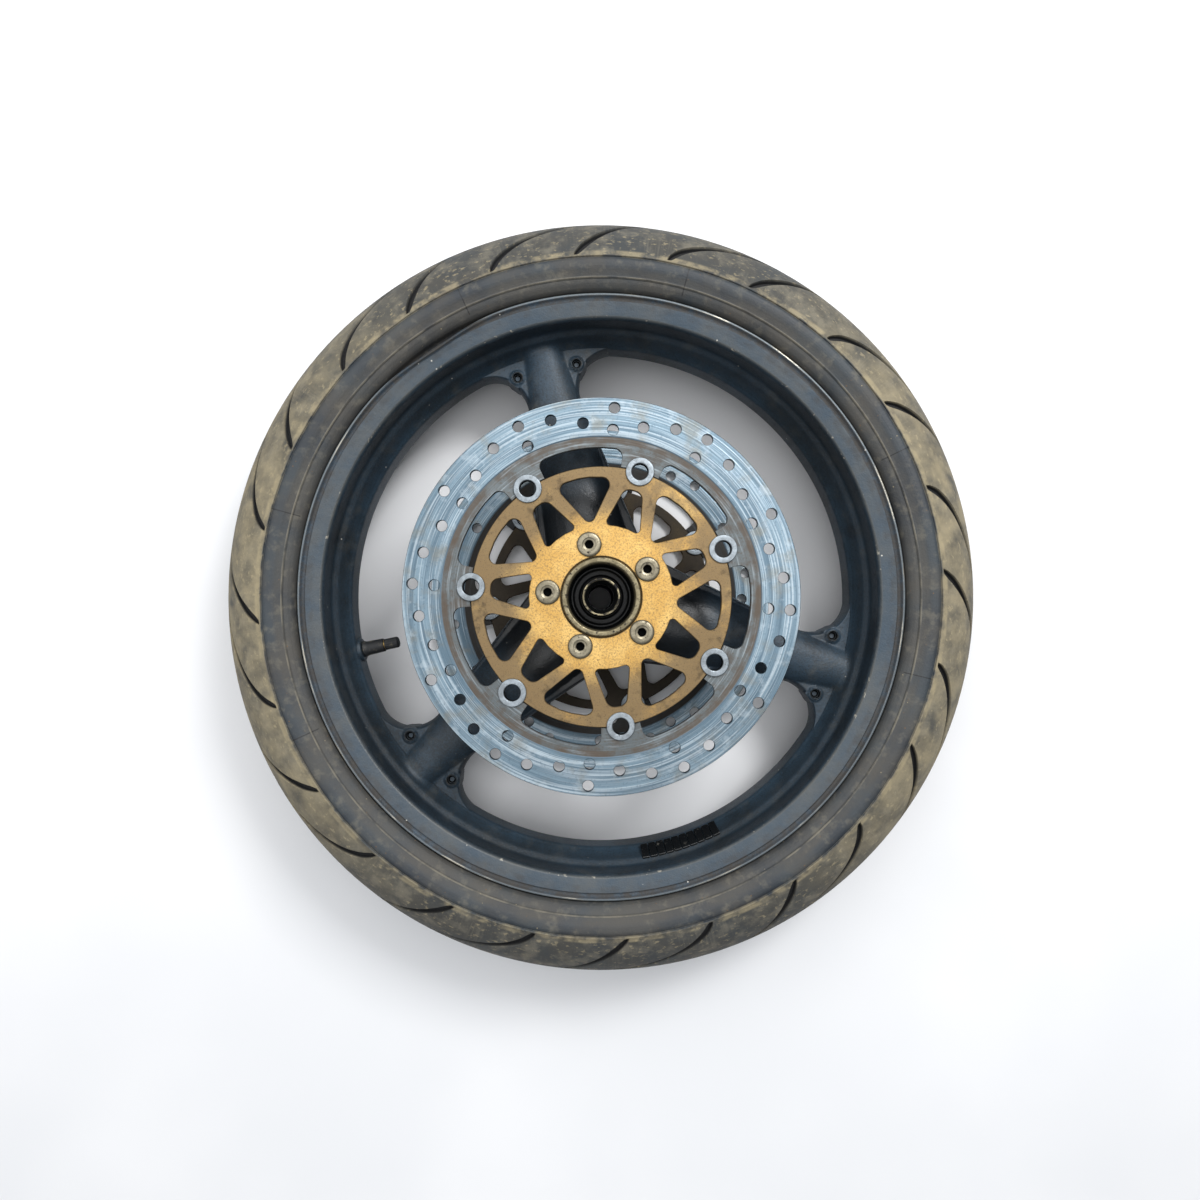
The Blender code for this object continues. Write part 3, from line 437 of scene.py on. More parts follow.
class Surface:
    """A material that is built up in layers, as paint, wear and dirt lie over each other.

    Patterns can follow the place itself, the radius, which is the distance from the axle, the way, which is
    the direction away from it, and the lift, which is the distance from the middle plane.
    """

    def __init__(self, name: str, colour: str, roughness: float, metallic: float) -> None:
        """Starts a material.

        Args:
            name: The material's name.
            colour: Base colour as sRGB hex digits.
            roughness: Base roughness.
            metallic: Base metallic value.
        """
        self.material = bpy.data.materials.new(name)
        self.material.use_nodes = True
        self.tree = self.material.node_tree
        self.shader = self.tree.nodes["Principled BSDF"]
        self.colour: Value = linear(colour)
        self.roughness: Value = roughness
        self.metallic: Value = metallic
        self.shine: Value = 0.5
        self.normal: Socket | None = None
        self.place = add(self.tree, "ShaderNodeTexCoord", out="Object")
        flat = add(self.tree, "ShaderNodeVectorMath", {0: self.place, 1: (1, 1, 0)}, operation="MULTIPLY")
        self.radius = add(self.tree, "ShaderNodeVectorMath", {0: flat}, "Value", operation="LENGTH")
        self.way = add(self.tree, "ShaderNodeVectorMath", {0: flat}, operation="NORMALIZE")
        height = add(self.tree, "ShaderNodeSeparateXYZ", {0: self.place}, "Z")
        self.lift = add(self.tree, "ShaderNodeMath", {0: height}, operation="ABSOLUTE")

    def ramp(self, value: Socket, low: float, high: float) -> Socket:
        """A mask that rises smoothly from 0 at low to 1 at high, or falls when low is the larger."""
        ends = {0: value, 1: min(low, high), 2: max(low, high), 3: float(low > high), 4: float(low <= high)}
        return add(self.tree, "ShaderNodeMapRange", ends, interpolation_type="SMOOTHSTEP")

    def between(self, value: Socket, low: float, high: float, soft: float) -> Socket:
        """A mask that is 1 between two values and falls to 0 over a soft distance outside each."""
        return self.product(self.ramp(value, low - soft, low), self.ramp(value, high + soft, high))

    def product(self, *masks: Socket | float) -> Socket:
        """All the masks multiplied together."""
        result = masks[0]
        for mask in masks[1:]:
            result = add(self.tree, "ShaderNodeMath", {0: result, 1: mask}, operation="MULTIPLY")
        return result

    def clouds(self, size: float, low: float, high: float, detail: float = 4.0, shift: float = 0.0,
               stretch: tuple[float, float, float] = (1, 1, 1)) -> Socket:
        """A mask of irregular patches.

        Args:
            size: Typical patch size.
            low: Noise value that gives 0.
            high: Noise value that gives 1.
            detail: Octaves of finer noise.
            shift: Moves the pattern, so that two of them differ.
            stretch: Factors on the coordinates.

        Returns:
            The mask.
        """
        moved = add(self.tree, "ShaderNodeMapping",
                    {"Vector": self.place, "Location": (shift, shift, shift), "Scale": stretch})
        noise = add(self.tree, Noise.CLOUDS.value, {"Vector": moved, "Scale": 1 / size, "Detail": detail,
                                                    "Roughness": 0.6})
        return self.ramp(noise, low, high)

    def spots(self, size: float, share: float, shift: float = 0.0) -> Socket:
        """A mask of small round spots, one for each cell of this size, and as large a share of it."""
        moved = add(self.tree, "ShaderNodeMapping", {"Vector": self.place, "Location": (shift, shift, shift)})
        distance = add(self.tree, Noise.SPOTS.value, {"Vector": moved, "Scale": 1 / size})
        return self.ramp(distance, share, share * 0.5)

    def rings(self, size: float, low: float, high: float, along: float = 2.0, shift: float = 0.0) -> Socket:
        """A mask of streaks that run round the wheel's axis.

        Args:
            size: Width of a streak across its run.
            low: Noise value that gives 0.
            high: Noise value that gives 1.
            along: How often the streaks change on their way round.
            shift: Moves the pattern.

        Returns:
            The mask.
        """
        out = add(self.tree, "ShaderNodeMath", {0: self.radius, 1: 1 / size, 2: shift},
                  operation="MULTIPLY_ADD")
        up = add(self.tree, "ShaderNodeCombineXYZ", {2: out})
        where = add(self.tree, "ShaderNodeVectorMath", {0: self.way, 1: (along,) * 3, 2: up},
                    operation="MULTIPLY_ADD")
        noise = add(self.tree, Noise.CLOUDS.value, {"Vector": where, "Scale": 1.0, "Detail": 3.0})
        return self.ramp(noise, low, high)

    def rays(self, angles: tuple[float, ...], half_width: float) -> Socket:
        """A mask of thin radial lines.

        Args:
            angles: Their directions in degrees.
            half_width: Half of a line's width.

        Returns:
            The mask.
        """
        lines = []
        for degrees in angles:
            cos, sin = math.cos(math.radians(degrees)), math.sin(math.radians(degrees))
            beside, ahead = (
                add(self.tree, "ShaderNodeVectorMath", {0: self.place, 1: way}, "Value",
                    operation="DOT_PRODUCT") for way in ((sin, -cos, 0), (cos, sin, 0)))
            line = self.between(beside, -half_width, half_width, 0.3 * MM)
            lines.append(self.product(line, self.ramp(ahead, 0, 10 * MM)))
        total = lines[0]
        for line in lines[1:]:
            total = add(self.tree, "ShaderNodeMath", {0: total, 1: line}, operation="MAXIMUM")
        return total

    def cover(self, masks: Socket | tuple[Socket | float, ...], colour: str | None = None,
              roughness: float | None = None, metallic: float | None = None,
              shine: float | None = None) -> None:
        """Lays a finish over what is there.

        Args:
            masks: Where the layer lies, from 0 to 1: one mask, or several that are multiplied together.
            colour: Its colour as sRGB hex digits, or None to leave the colour.
            roughness: Its roughness, or None.
            metallic: Its metallic value, or None.
            shine: Its specular level, or None.
        """
        mask = self.product(*masks) if isinstance(masks, tuple) else masks
        if colour is not None:
            self.colour = add(self.tree, "ShaderNodeMix", {0: mask, 6: self.colour, 7: linear(colour)}, 2,
                              data_type="RGBA")
        if roughness is not None:
            self.roughness = add(self.tree, "ShaderNodeMix", {0: mask, 2: self.roughness, 3: roughness})
        if metallic is not None:
            self.metallic = add(self.tree, "ShaderNodeMix", {0: mask, 2: self.metallic, 3: metallic})
        if shine is not None:
            self.shine = add(self.tree, "ShaderNodeMix", {0: mask, 2: self.shine, 3: shine})

    def relief(self, height: Socket, depth: float, strength: float = 1.0) -> None:
        """Raises the surface where a mask is 1.

        Args:
            height: The mask.
            depth: The rise.
            strength: Share of the effect that is kept.
        """
        inputs: dict[str | int, Value] = {"Height": height, "Distance": depth, "Strength": strength}
        if self.normal is not None:
            inputs["Normal"] = self.normal
        self.normal = add(self.tree, "ShaderNodeBump", inputs)

    def done(self, **uniform: float) -> bpy.types.Material:
        """Connects the layers to the shader.

        Args:
            uniform: Values of other sockets that are the same all over, with _ for each space in their names.

        Returns:
            The finished material.
        """
        layers = {"Base Color": self.colour, "Roughness": self.roughness, "Metallic": self.metallic,
                  "Specular IOR Level": self.shine}
        if self.normal is not None:
            layers["Normal"] = self.normal
        for name, value in layers.items():
            if isinstance(value, bpy.types.NodeSocket):
                self.tree.links.new(value, self.shader.inputs[name])
            else:
                self.shader.inputs[name].default_value = value
        for name, value in uniform.items():
            self.shader.inputs[name.replace("_", " ")].default_value = value
        return self.material


# Finishes


@dataclass(frozen=True)
class RoadRubber:
    """Worn tyre rubber: dark satin sidewalls, a scuffed dusty tread with painted sunlight at two sides, and
    dark grooves with painted shade.
    """

    rubber: str = "22282e"
    faded: str = "2f363b"
    mud: str = "4b4740"
    rusty: str = "6b5136"
    tread: str = "403f3b"
    scuff: str = "7d7768"
    dust: str = "a39677"
    groove: str = "08090b"

    @functools.cache
    def material(self) -> bpy.types.Material:
        """Builds the material."""
        surface = Surface("worn tyre rubber", self.rubber, 0.55, 0.0)
        # The sidewall fades unevenly and keeps a brown film of dust, thickest near the rim.
        surface.cover(surface.clouds(50 * MM, 0.4, 0.62), self.faded, 0.6)
        surface.cover((surface.clouds(35 * MM, 0.4, 0.68, 10.0, 1.0), 0.5), self.mud, 0.75)
        foot = surface.between(surface.radius, 233 * MM, 244 * MM, 4 * MM)
        surface.cover((foot, surface.clouds(24 * MM, 0.2, 0.7, 9.0, 6.0), 0.6), self.mud, 0.7)
        surface.cover((surface.clouds(9 * MM, 0.5, 0.72, 9.0), 0.3), self.scuff, 0.8)
        surface.cover((surface.spots(7 * MM, 0.10), surface.clouds(30 * MM, 0.45, 0.6), 0.7),
                      self.rusty, 0.9)
        surface.cover((surface.spots(12 * MM, 0.05, 5.0), 0.6), self.dust, 0.9)
        # Fine dark lines that cross the sidewall, and the thin pale ring beside the rim.
        wall = surface.between(surface.radius, 236 * MM, 262 * MM, 1 * MM)
        surface.cover((wall, surface.rays((26, 75, 115, 165, 205, 346), 0.25 * MM), 0.8), self.groove)
        pale = surface.between(surface.radius, 240.4 * MM, 241 * MM, 0.4 * MM)
        surface.cover((pale, surface.clouds(20 * MM, 0.35, 0.6), 0.6), self.scuff, 0.7)
        # The tread starts at a crisp moulded step. It is paler, as the road has taken its skin.
        tread = surface.ramp(surface.radius, 255.4 * MM, 256.6 * MM)
        surface.cover(tread, self.tread, 0.8)
        # Smears and scuffs, drawn coarser than real ones to stay visible.
        surface.cover((tread, surface.clouds(34 * MM, 0.38, 0.66, 9.0, 4.0), 0.55), self.faded, 0.75)
        surface.cover((tread, surface.clouds(16 * MM, 0.44, 0.7, 12.0), 0.55), self.scuff, 0.9)
        surface.cover((tread, surface.rings(50 * MM, 0.45, 0.8, 190.0), surface.clouds(45 * MM, 0.45, 0.65),
                                      0.3), self.scuff, 0.85)
        surface.cover((tread, surface.clouds(5 * MM, 0.56, 0.68, 6.0, 8.0, (1, 1, 2.5)), 0.45),
                      self.dust, 0.9)
        # Painted sunlight: the pale dust colour is laid thicker at the ring's two sides, left and right in
        # the view, where light falls. Along the tread's edge the pale dust is real.
        across = add(surface.tree, "ShaderNodeSeparateXYZ", {0: surface.way}, "X")
        toward_lit_sides = add(surface.tree, "ShaderNodeMath", {0: across}, operation="ABSOLUTE")
        sides = surface.ramp(toward_lit_sides, 0.45, 0.95)
        surface.cover((tread, sides, surface.clouds(22 * MM, 0.2, 0.75, 12.0, 2.0), 0.65), self.dust, 0.9)
        edge = surface.between(surface.radius, 256 * MM, 259 * MM, 2 * MM)
        surface.cover((edge, surface.clouds(15 * MM, 0.4, 0.6, 9.0), 0.5), self.dust, 0.9)
        # The grooves are made near black: their clean rubber, with painted shade in the hollow.
        depth = add(surface.tree, "ShaderNodeAttribute", out="Fac", attribute_name="groove")
        surface.cover(surface.ramp(depth, 0.05, 0.6), self.groove, 0.7)
        # Moulded skin: fine rings on the sidewall and a grain everywhere.
        surface.relief(surface.rings(1.2 * MM, 0.3, 0.7, 0.6), 0.12 * MM, 0.4)
        surface.relief(surface.clouds(1.6 * MM, 0.3, 0.7, 2.0), 0.12 * MM, 0.5)
        return surface.done()


@dataclass(frozen=True)
class CastPaint:
    """Satin blue-grey paint over the casting, with a fine grain, dull dust, rubbed edges at the lip, and
    painted light and shade on the rim and round the hub.
    """

    paint: str = "1e2931"
    blue: str = "2c3f4e"
    shade: str = "11161a"
    dust: str = "54524b"
    grime: str = "2f281f"
    greasy: str = "0a0a0a"
    rubbed: str = "6f767a"
    bare: str = "a9a497"
    speck: str = "b9b6ad"

    @functools.cache
    def material(self, lip: bool) -> bpy.types.Material:
        """Builds the material.

        Args:
            lip: Whether the piece has the rim's lip, which is worn down to the metal and carries a painted
                highlight, with painted reflection and shade beside it.

        Returns:
            The material.
        """
        surface = Surface("rubbed rim paint" if lip else "spoke paint", self.paint, 0.56, 0.1)
        # Colour that drifts between blue and near black along the casting, under a flake-like grain.
        surface.cover((surface.clouds(60 * MM, 0.4, 0.62), 0.6), self.blue, 0.5)
        surface.cover((surface.clouds(35 * MM, 0.48, 0.7, 5.0, 3.0), 0.7), self.shade, 0.5)
        surface.cover((surface.clouds(1.3 * MM, 0.46, 0.66, 2.0), 0.5), self.blue, 0.45, 0.3)
        surface.cover((surface.clouds(1.5 * MM, 0.5, 0.66, 2.0, 5.0), 0.5), self.shade, 0.6, 0.0)
        # A film of dust that has stayed where nothing rubs.
        surface.cover((surface.clouds(16 * MM, 0.5, 0.75, 7.0), 0.35), self.dust, 0.75, 0.0)
        # Round the hub, where the carrier covers the spokes, the paint is made black and glossy: grime, and
        # painted shade under the brake parts.
        surface.cover((surface.ramp(surface.radius, 105 * MM, 75 * MM), 0.85), self.greasy, 0.3, 0.0)
        # Painted shade: the upright walls between band and well, deep under the lip, are darkened nearly to
        # black.
        wall = surface.between(surface.radius, 207 * MM, 213.5 * MM, 3 * MM)
        surface.cover((wall, 0.35), self.shade, 0.6, 0.0)
        if lip:
            up = surface.ramp(surface.lift, 44 * MM, 46 * MM)
            band = surface.product(surface.between(surface.radius, 214.5 * MM, 225 * MM, 1 * MM), up)
            # Painted reflection: the flat band is made bluer, as a blue sky would look in it.
            surface.cover((band, 0.7), self.blue, 0.42, 0.1)
            surface.cover((band, surface.clouds(30 * MM, 0.3, 0.8, 9.0), 0.6), self.dust, 0.6, 0.0)
            outer = surface.product(surface.between(surface.radius, 222 * MM, 226 * MM, 3 * MM), up)
            surface.cover((outer, surface.clouds(9 * MM, 0.35, 0.75, 7.0), 0.45), self.grime, 0.7, 0.0)
            # The channel beside the bead is darkened brown: grime, and painted shade in the hollow.
            channel = surface.product(surface.between(surface.radius, 225.8 * MM, 229.2 * MM, 0.8 * MM), up)
            surface.cover((channel, surface.clouds(8 * MM, 0.3, 0.6), 0.65), self.grime, 0.7, 0.0)
            # The top of the lip is made pale and satin all round: rubbed wear, and a painted highlight on its
            # rounded top. In a few places it is bare.
            top = surface.product(surface.ramp(surface.radius, 229.2 * MM, 230.0 * MM), up)
            surface.cover((top, 0.75), self.rubbed, 0.36, 0.35)
            surface.cover((top, surface.rings(3 * MM, 0.56, 0.66, 7.0)), self.bare, 0.34, 0.8)
            edge = surface.product(surface.between(surface.radius, 214.2 * MM, 215.2 * MM, 0.5 * MM), up)
            surface.cover((edge, 0.35), self.dust, 0.4, 0.2)
            surface.cover((edge, surface.clouds(6 * MM, 0.62, 0.68), 0.7), self.bare, 0.4, 0.6)
        # Stone chips and specks of dried dirt.
        surface.cover((surface.spots(11 * MM, 0.07), surface.clouds(40 * MM, 0.5, 0.6)), self.speck,
                      0.6, 0.0)
        surface.cover((surface.spots(4 * MM, 0.09, 3.0), surface.clouds(30 * MM, 0.5, 0.6), 0.8),
                      self.dust, 0.7, 0.0)
        # The cast skin under the paint.
        surface.relief(surface.clouds(5 * MM, 0.2, 0.8), 0.25 * MM, 0.5)
        surface.relief(surface.clouds(1.3 * MM, 0.3, 0.7, 2.0), 0.10 * MM, 0.6)
        return surface.done()


@dataclass(frozen=True)
class DiscSteel:
    """Stainless steel tinted blue as a painted sky reflection, with the pads' circular scoring, a dull inner
    ring that they don't reach, and painted shade on the faces that look inwards.
    """

    # The steel colours are tinted blue: painted reflection of a blue sky in the steel.
    swept: str = "70838f"
    dark: str = "4b5d6a"
    stain: str = "726f64"
    inner: str = "62686a"
    rust: str = "52463a"
    inward_shade: str = "191715"
    bare: str = "a9b4bb"

    @functools.cache
    def material(self) -> bpy.types.Material:
        """Builds the material."""
        surface = Surface("scored disc steel", self.swept, 0.36, 1.0)
        # The pads' traces: broad bands first, then scratches drawn coarser than real ones to stay visible.
        surface.cover((surface.rings(6 * MM, 0.38, 0.66, 1.3), 0.7), self.dark, 0.42)
        surface.cover((surface.rings(1.1 * MM, 0.46, 0.66, 1.5, 4.0), 0.65), self.bare, 0.3)
        surface.cover((surface.rings(0.9 * MM, 0.5, 0.68, 2.5, 9.0), 0.6), self.dark, 0.42)
        # Stains and pale smears that run across the band.
        surface.cover((surface.clouds(20 * MM, 0.48, 0.72, 8.0), 0.6), self.stain, 0.5, 0.75)
        surface.cover((surface.clouds(13 * MM, 0.55, 0.66, 9.0, 8.0), 0.3), self.bare, 0.45, 0.8)
        surface.cover((surface.clouds(2.2 * MM, 0.54, 0.7), 0.45), self.dark, 0.5, 0.8)
        # Inside the swept band the steel is dull and dirty, with a little rust.
        inside = surface.ramp(surface.radius, 121.5 * MM, 120 * MM)
        surface.cover(inside, self.inner, 0.6, 0.7)
        surface.cover((inside, surface.clouds(14 * MM, 0.45, 0.65, 7.0), 0.6), self.rust, 0.75, 0.3)
        surface.cover((inside, surface.clouds(1.8 * MM, 0.5, 0.68), 0.5), self.rust, 0.7, 0.3)
        surface.cover((inside, surface.rings(1.3 * MM, 0.5, 0.72, 4.0, 7.0), 0.4), self.bare, 0.5, 0.8)
        # A brown band of dirt lies just inside the step. The faces that look inwards are made near black:
        # painted shade, as they lie in the wheel's own shade.
        brown = surface.between(surface.radius, 116.5 * MM, 120 * MM, 1.2 * MM)
        surface.cover((brown, surface.clouds(16 * MM, 0.3, 0.6, 9.0, 3.0), 0.8), self.rust, 0.7, 0.2)
        inward_shade_mask = surface.ramp(surface.lift, 54.5 * MM, 53.5 * MM)
        surface.cover((inside, inward_shade_mask, 0.85), self.inward_shade, 0.8, 0.0)
        step = surface.between(surface.radius, 120.4 * MM, 121 * MM, 0.4 * MM)
        surface.cover((step, 0.8), self.dark, 0.5)
        surface.relief(surface.ramp(surface.radius, 120 * MM, 121.2 * MM), 0.3 * MM)
        surface.relief(surface.rings(1.1 * MM, 0.3, 0.7, 1.5, 4.0), 0.08 * MM, 0.6)
        return surface.done(Anisotropic=0.4)


@dataclass(frozen=True)
class GoldAnodising:
    """Gold anodised plate, speckled and worn through in places to a dull grey-brown, with painted shade on
    the faces that look inwards.
    """

    gold: str = "bb9451"
    light: str = "cba764"
    worn: str = "6f5e45"
    dirt: str = "3a2e1c"
    inward_shade: str = "1f1a13"

    @functools.cache
    def material(self) -> bpy.types.Material:
        """Builds the material."""
        surface = Surface("worn gold anodising", self.gold, 0.45, 0.75)
        surface.cover(surface.clouds(30 * MM, 0.4, 0.65), self.light, 0.36)
        # The arms away from the plate have lost most of their colour.
        arms = surface.ramp(surface.radius, 50 * MM, 72 * MM)
        surface.cover((arms, surface.clouds(45 * MM, 0.25, 0.5, 7.0), 0.9), self.worn, 0.5, 0.7)
        surface.cover((surface.clouds(1.6 * MM, 0.46, 0.64), 0.5), self.worn, 0.5, 0.6)
        surface.cover((surface.clouds(0.9 * MM, 0.56, 0.68), 0.7), self.dirt, 0.65, 0.3)
        surface.cover((arms, surface.clouds(9 * MM, 0.54, 0.7, 8.0, 2.0), 0.6), self.dirt, 0.6, 0.4)
        surface.cover((surface.spots(5 * MM, 0.12), surface.clouds(15 * MM, 0.5, 0.6)), self.dirt,
                      0.65, 0.2)
        # A dark line where the plate meets the hub's lip: dirt, and painted shade cast by the lip.
        surface.cover((surface.ramp(surface.radius, 31.6 * MM, 30.8 * MM), 0.8), self.dirt, 0.7, 0.1)
        # The faces that look inwards are made dark brown: painted shade, as they lie in the wheel's own
        # shade.
        inward_shade_mask = surface.ramp(surface.lift, 56.8 * MM, 55.5 * MM)
        surface.cover((inward_shade_mask, 0.9), self.inward_shade, 0.8, 0.0)
        surface.relief(surface.clouds(1.4 * MM, 0.3, 0.7), 0.06 * MM, 0.6)
        return surface.done()


@dataclass(frozen=True)
class SmallMetal:
    """Turned and plated metal for bolts, bobbins, collars and other small pieces.

    Attributes:
        name: The material's name.
        metal: Colour of the clean metal.
        stain: Colour of its tarnish.
        grime: Colour of the dirt in its corners.
        dirty: Share of the surface that the dirt takes, from 0 to 1.
        bore: Distance from the piece's own axis inside which it is painted near black: painted shade in the
            hollow, and grease as well in the hub's recess.
    """

    name: str
    metal: str
    stain: str
    grime: str
    dirty: float = 0.3
    bore: float = 0.0

    @functools.cache
    def material(self) -> bpy.types.Material:
        """Builds the material."""
        surface = Surface(self.name, self.metal, 0.38, 0.95)
        surface.cover((surface.clouds(6 * MM, 0.4, 0.65), 0.6), self.stain, 0.5, 0.8)
        surface.cover((surface.clouds(1.3 * MM, 0.5, 0.68), 0.5), self.stain, 0.6, 0.6)
        surface.cover(surface.clouds(4 * MM, 0.72 - 0.3 * self.dirty, 0.8 - 0.25 * self.dirty, 5.0, 7.0),
                      self.grime, 0.75, 0.2)
        # Inside the bore the metal is painted near black: painted shade in the hollow, and grease as well in
        # the hub's recess.
        if self.bore:
            reach = add(surface.tree, "ShaderNodeAttribute", out="Fac", attribute_name="reach")
            surface.cover(surface.ramp(reach, self.bore + 0.2 * MM, self.bore - 0.2 * MM), "030404", 0.8, 0.0,
                          0.05)
        surface.relief(surface.clouds(0.9 * MM, 0.3, 0.7), 0.05 * MM, 0.6)
        return surface.done()


@dataclass(frozen=True)
class BlackCoat:
    """Black rubber, plastic or lacquer with a little dust.

    Attributes:
        name: The material's name.
        black: Its colour.
        dust: Colour of what lies on it.
        roughness: Its own roughness.
        dusty: Share of the surface that the dust takes, from 0 to 1.
        shine: Its specular level.
    """

    name: str
    black: str
    dust: str
    roughness: float
    dusty: float = 0.3
    shine: float = 0.5

    @functools.cache
    def material(self) -> bpy.types.Material:
        """Builds the material."""
        surface = Surface(self.name, self.black, self.roughness, 0.0)
        surface.shine = self.shine
        low, high = 0.68 - 0.25 * self.dusty, 0.85 - 0.2 * self.dusty
        surface.cover(surface.clouds(5 * MM, low, high), self.dust, 0.8)
        surface.cover((surface.spots(3 * MM, 0.12), self.dusty), self.dust, 0.8)
        surface.relief(surface.clouds(1.5 * MM, 0.3, 0.7), 0.08 * MM, 0.6)
        return surface.done()


PLATED = SmallMetal("dull plated steel", "8d8674", "625b4b", "2a231a", 0.4, 3.3 * MM)
BOBBIN_STEEL = SmallMetal("zinc-grey steel", "8f979d", "686d70", "33302b", 0.25, 6.25 * MM)
WORN_LIP = SmallMetal("hub lip metal", "857c64", "564e39", "221b12", 0.6, 25.1 * MM)
LINER = SmallMetal("hole lip metal", "262c31", "2a2723", "14110d", 0.5, 2.9 * MM)
COLLAR_STEEL = SmallMetal("collar steel", "958c72", "494231", "120e09", 0.9, 12.6 * MM)
BRASS = SmallMetal("tarnished brass", "b8985a", "7c673f", "2f281c", 0.4)
BEARING_STEEL = SmallMetal("greasy bearing steel", "3d3e40", "2a2926", "0f0d0a", 0.9)
# Near black for the distance tube: grease, and painted shade deep in the hub's bore.
GREASE_AND_SHADE = BlackCoat("dark greasy metal", "040505", "0f0d0a", 0.7, 0.2, 0.1)
SEAL_RUBBER = BlackCoat("oily seal rubber", "050607", "1d1913", 0.3, 0.2, 0.2)
VALVE_RUBBER = BlackCoat("valve rubber", "17191b", "5a5448", 0.6, 0.5)
WEIGHT_LACQUER = BlackCoat("lacquered weights", "0f1113", "4c4a44", 0.22, 0.25)


def dress(piece: bpy.types.Object, material: bpy.types.Material, body: str, slot: str,
          *nodes: str) -> bpy.types.Object:
    """Gives a piece its material and its moving body, and hides the CAD nodes that it replaces.

    Args:
        piece: The new object.
        material: Its material.
        body: The body that it moves with.
        slot: Not used; the slot whose look a user may change.
        nodes: CAD nodes that it replaces.

    Returns:
        The same object.
    """
    piece.data.materials.clear()
    piece.data.materials.append(material)
    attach(piece, body)
    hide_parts(*nodes)
    return piece


# Tyre


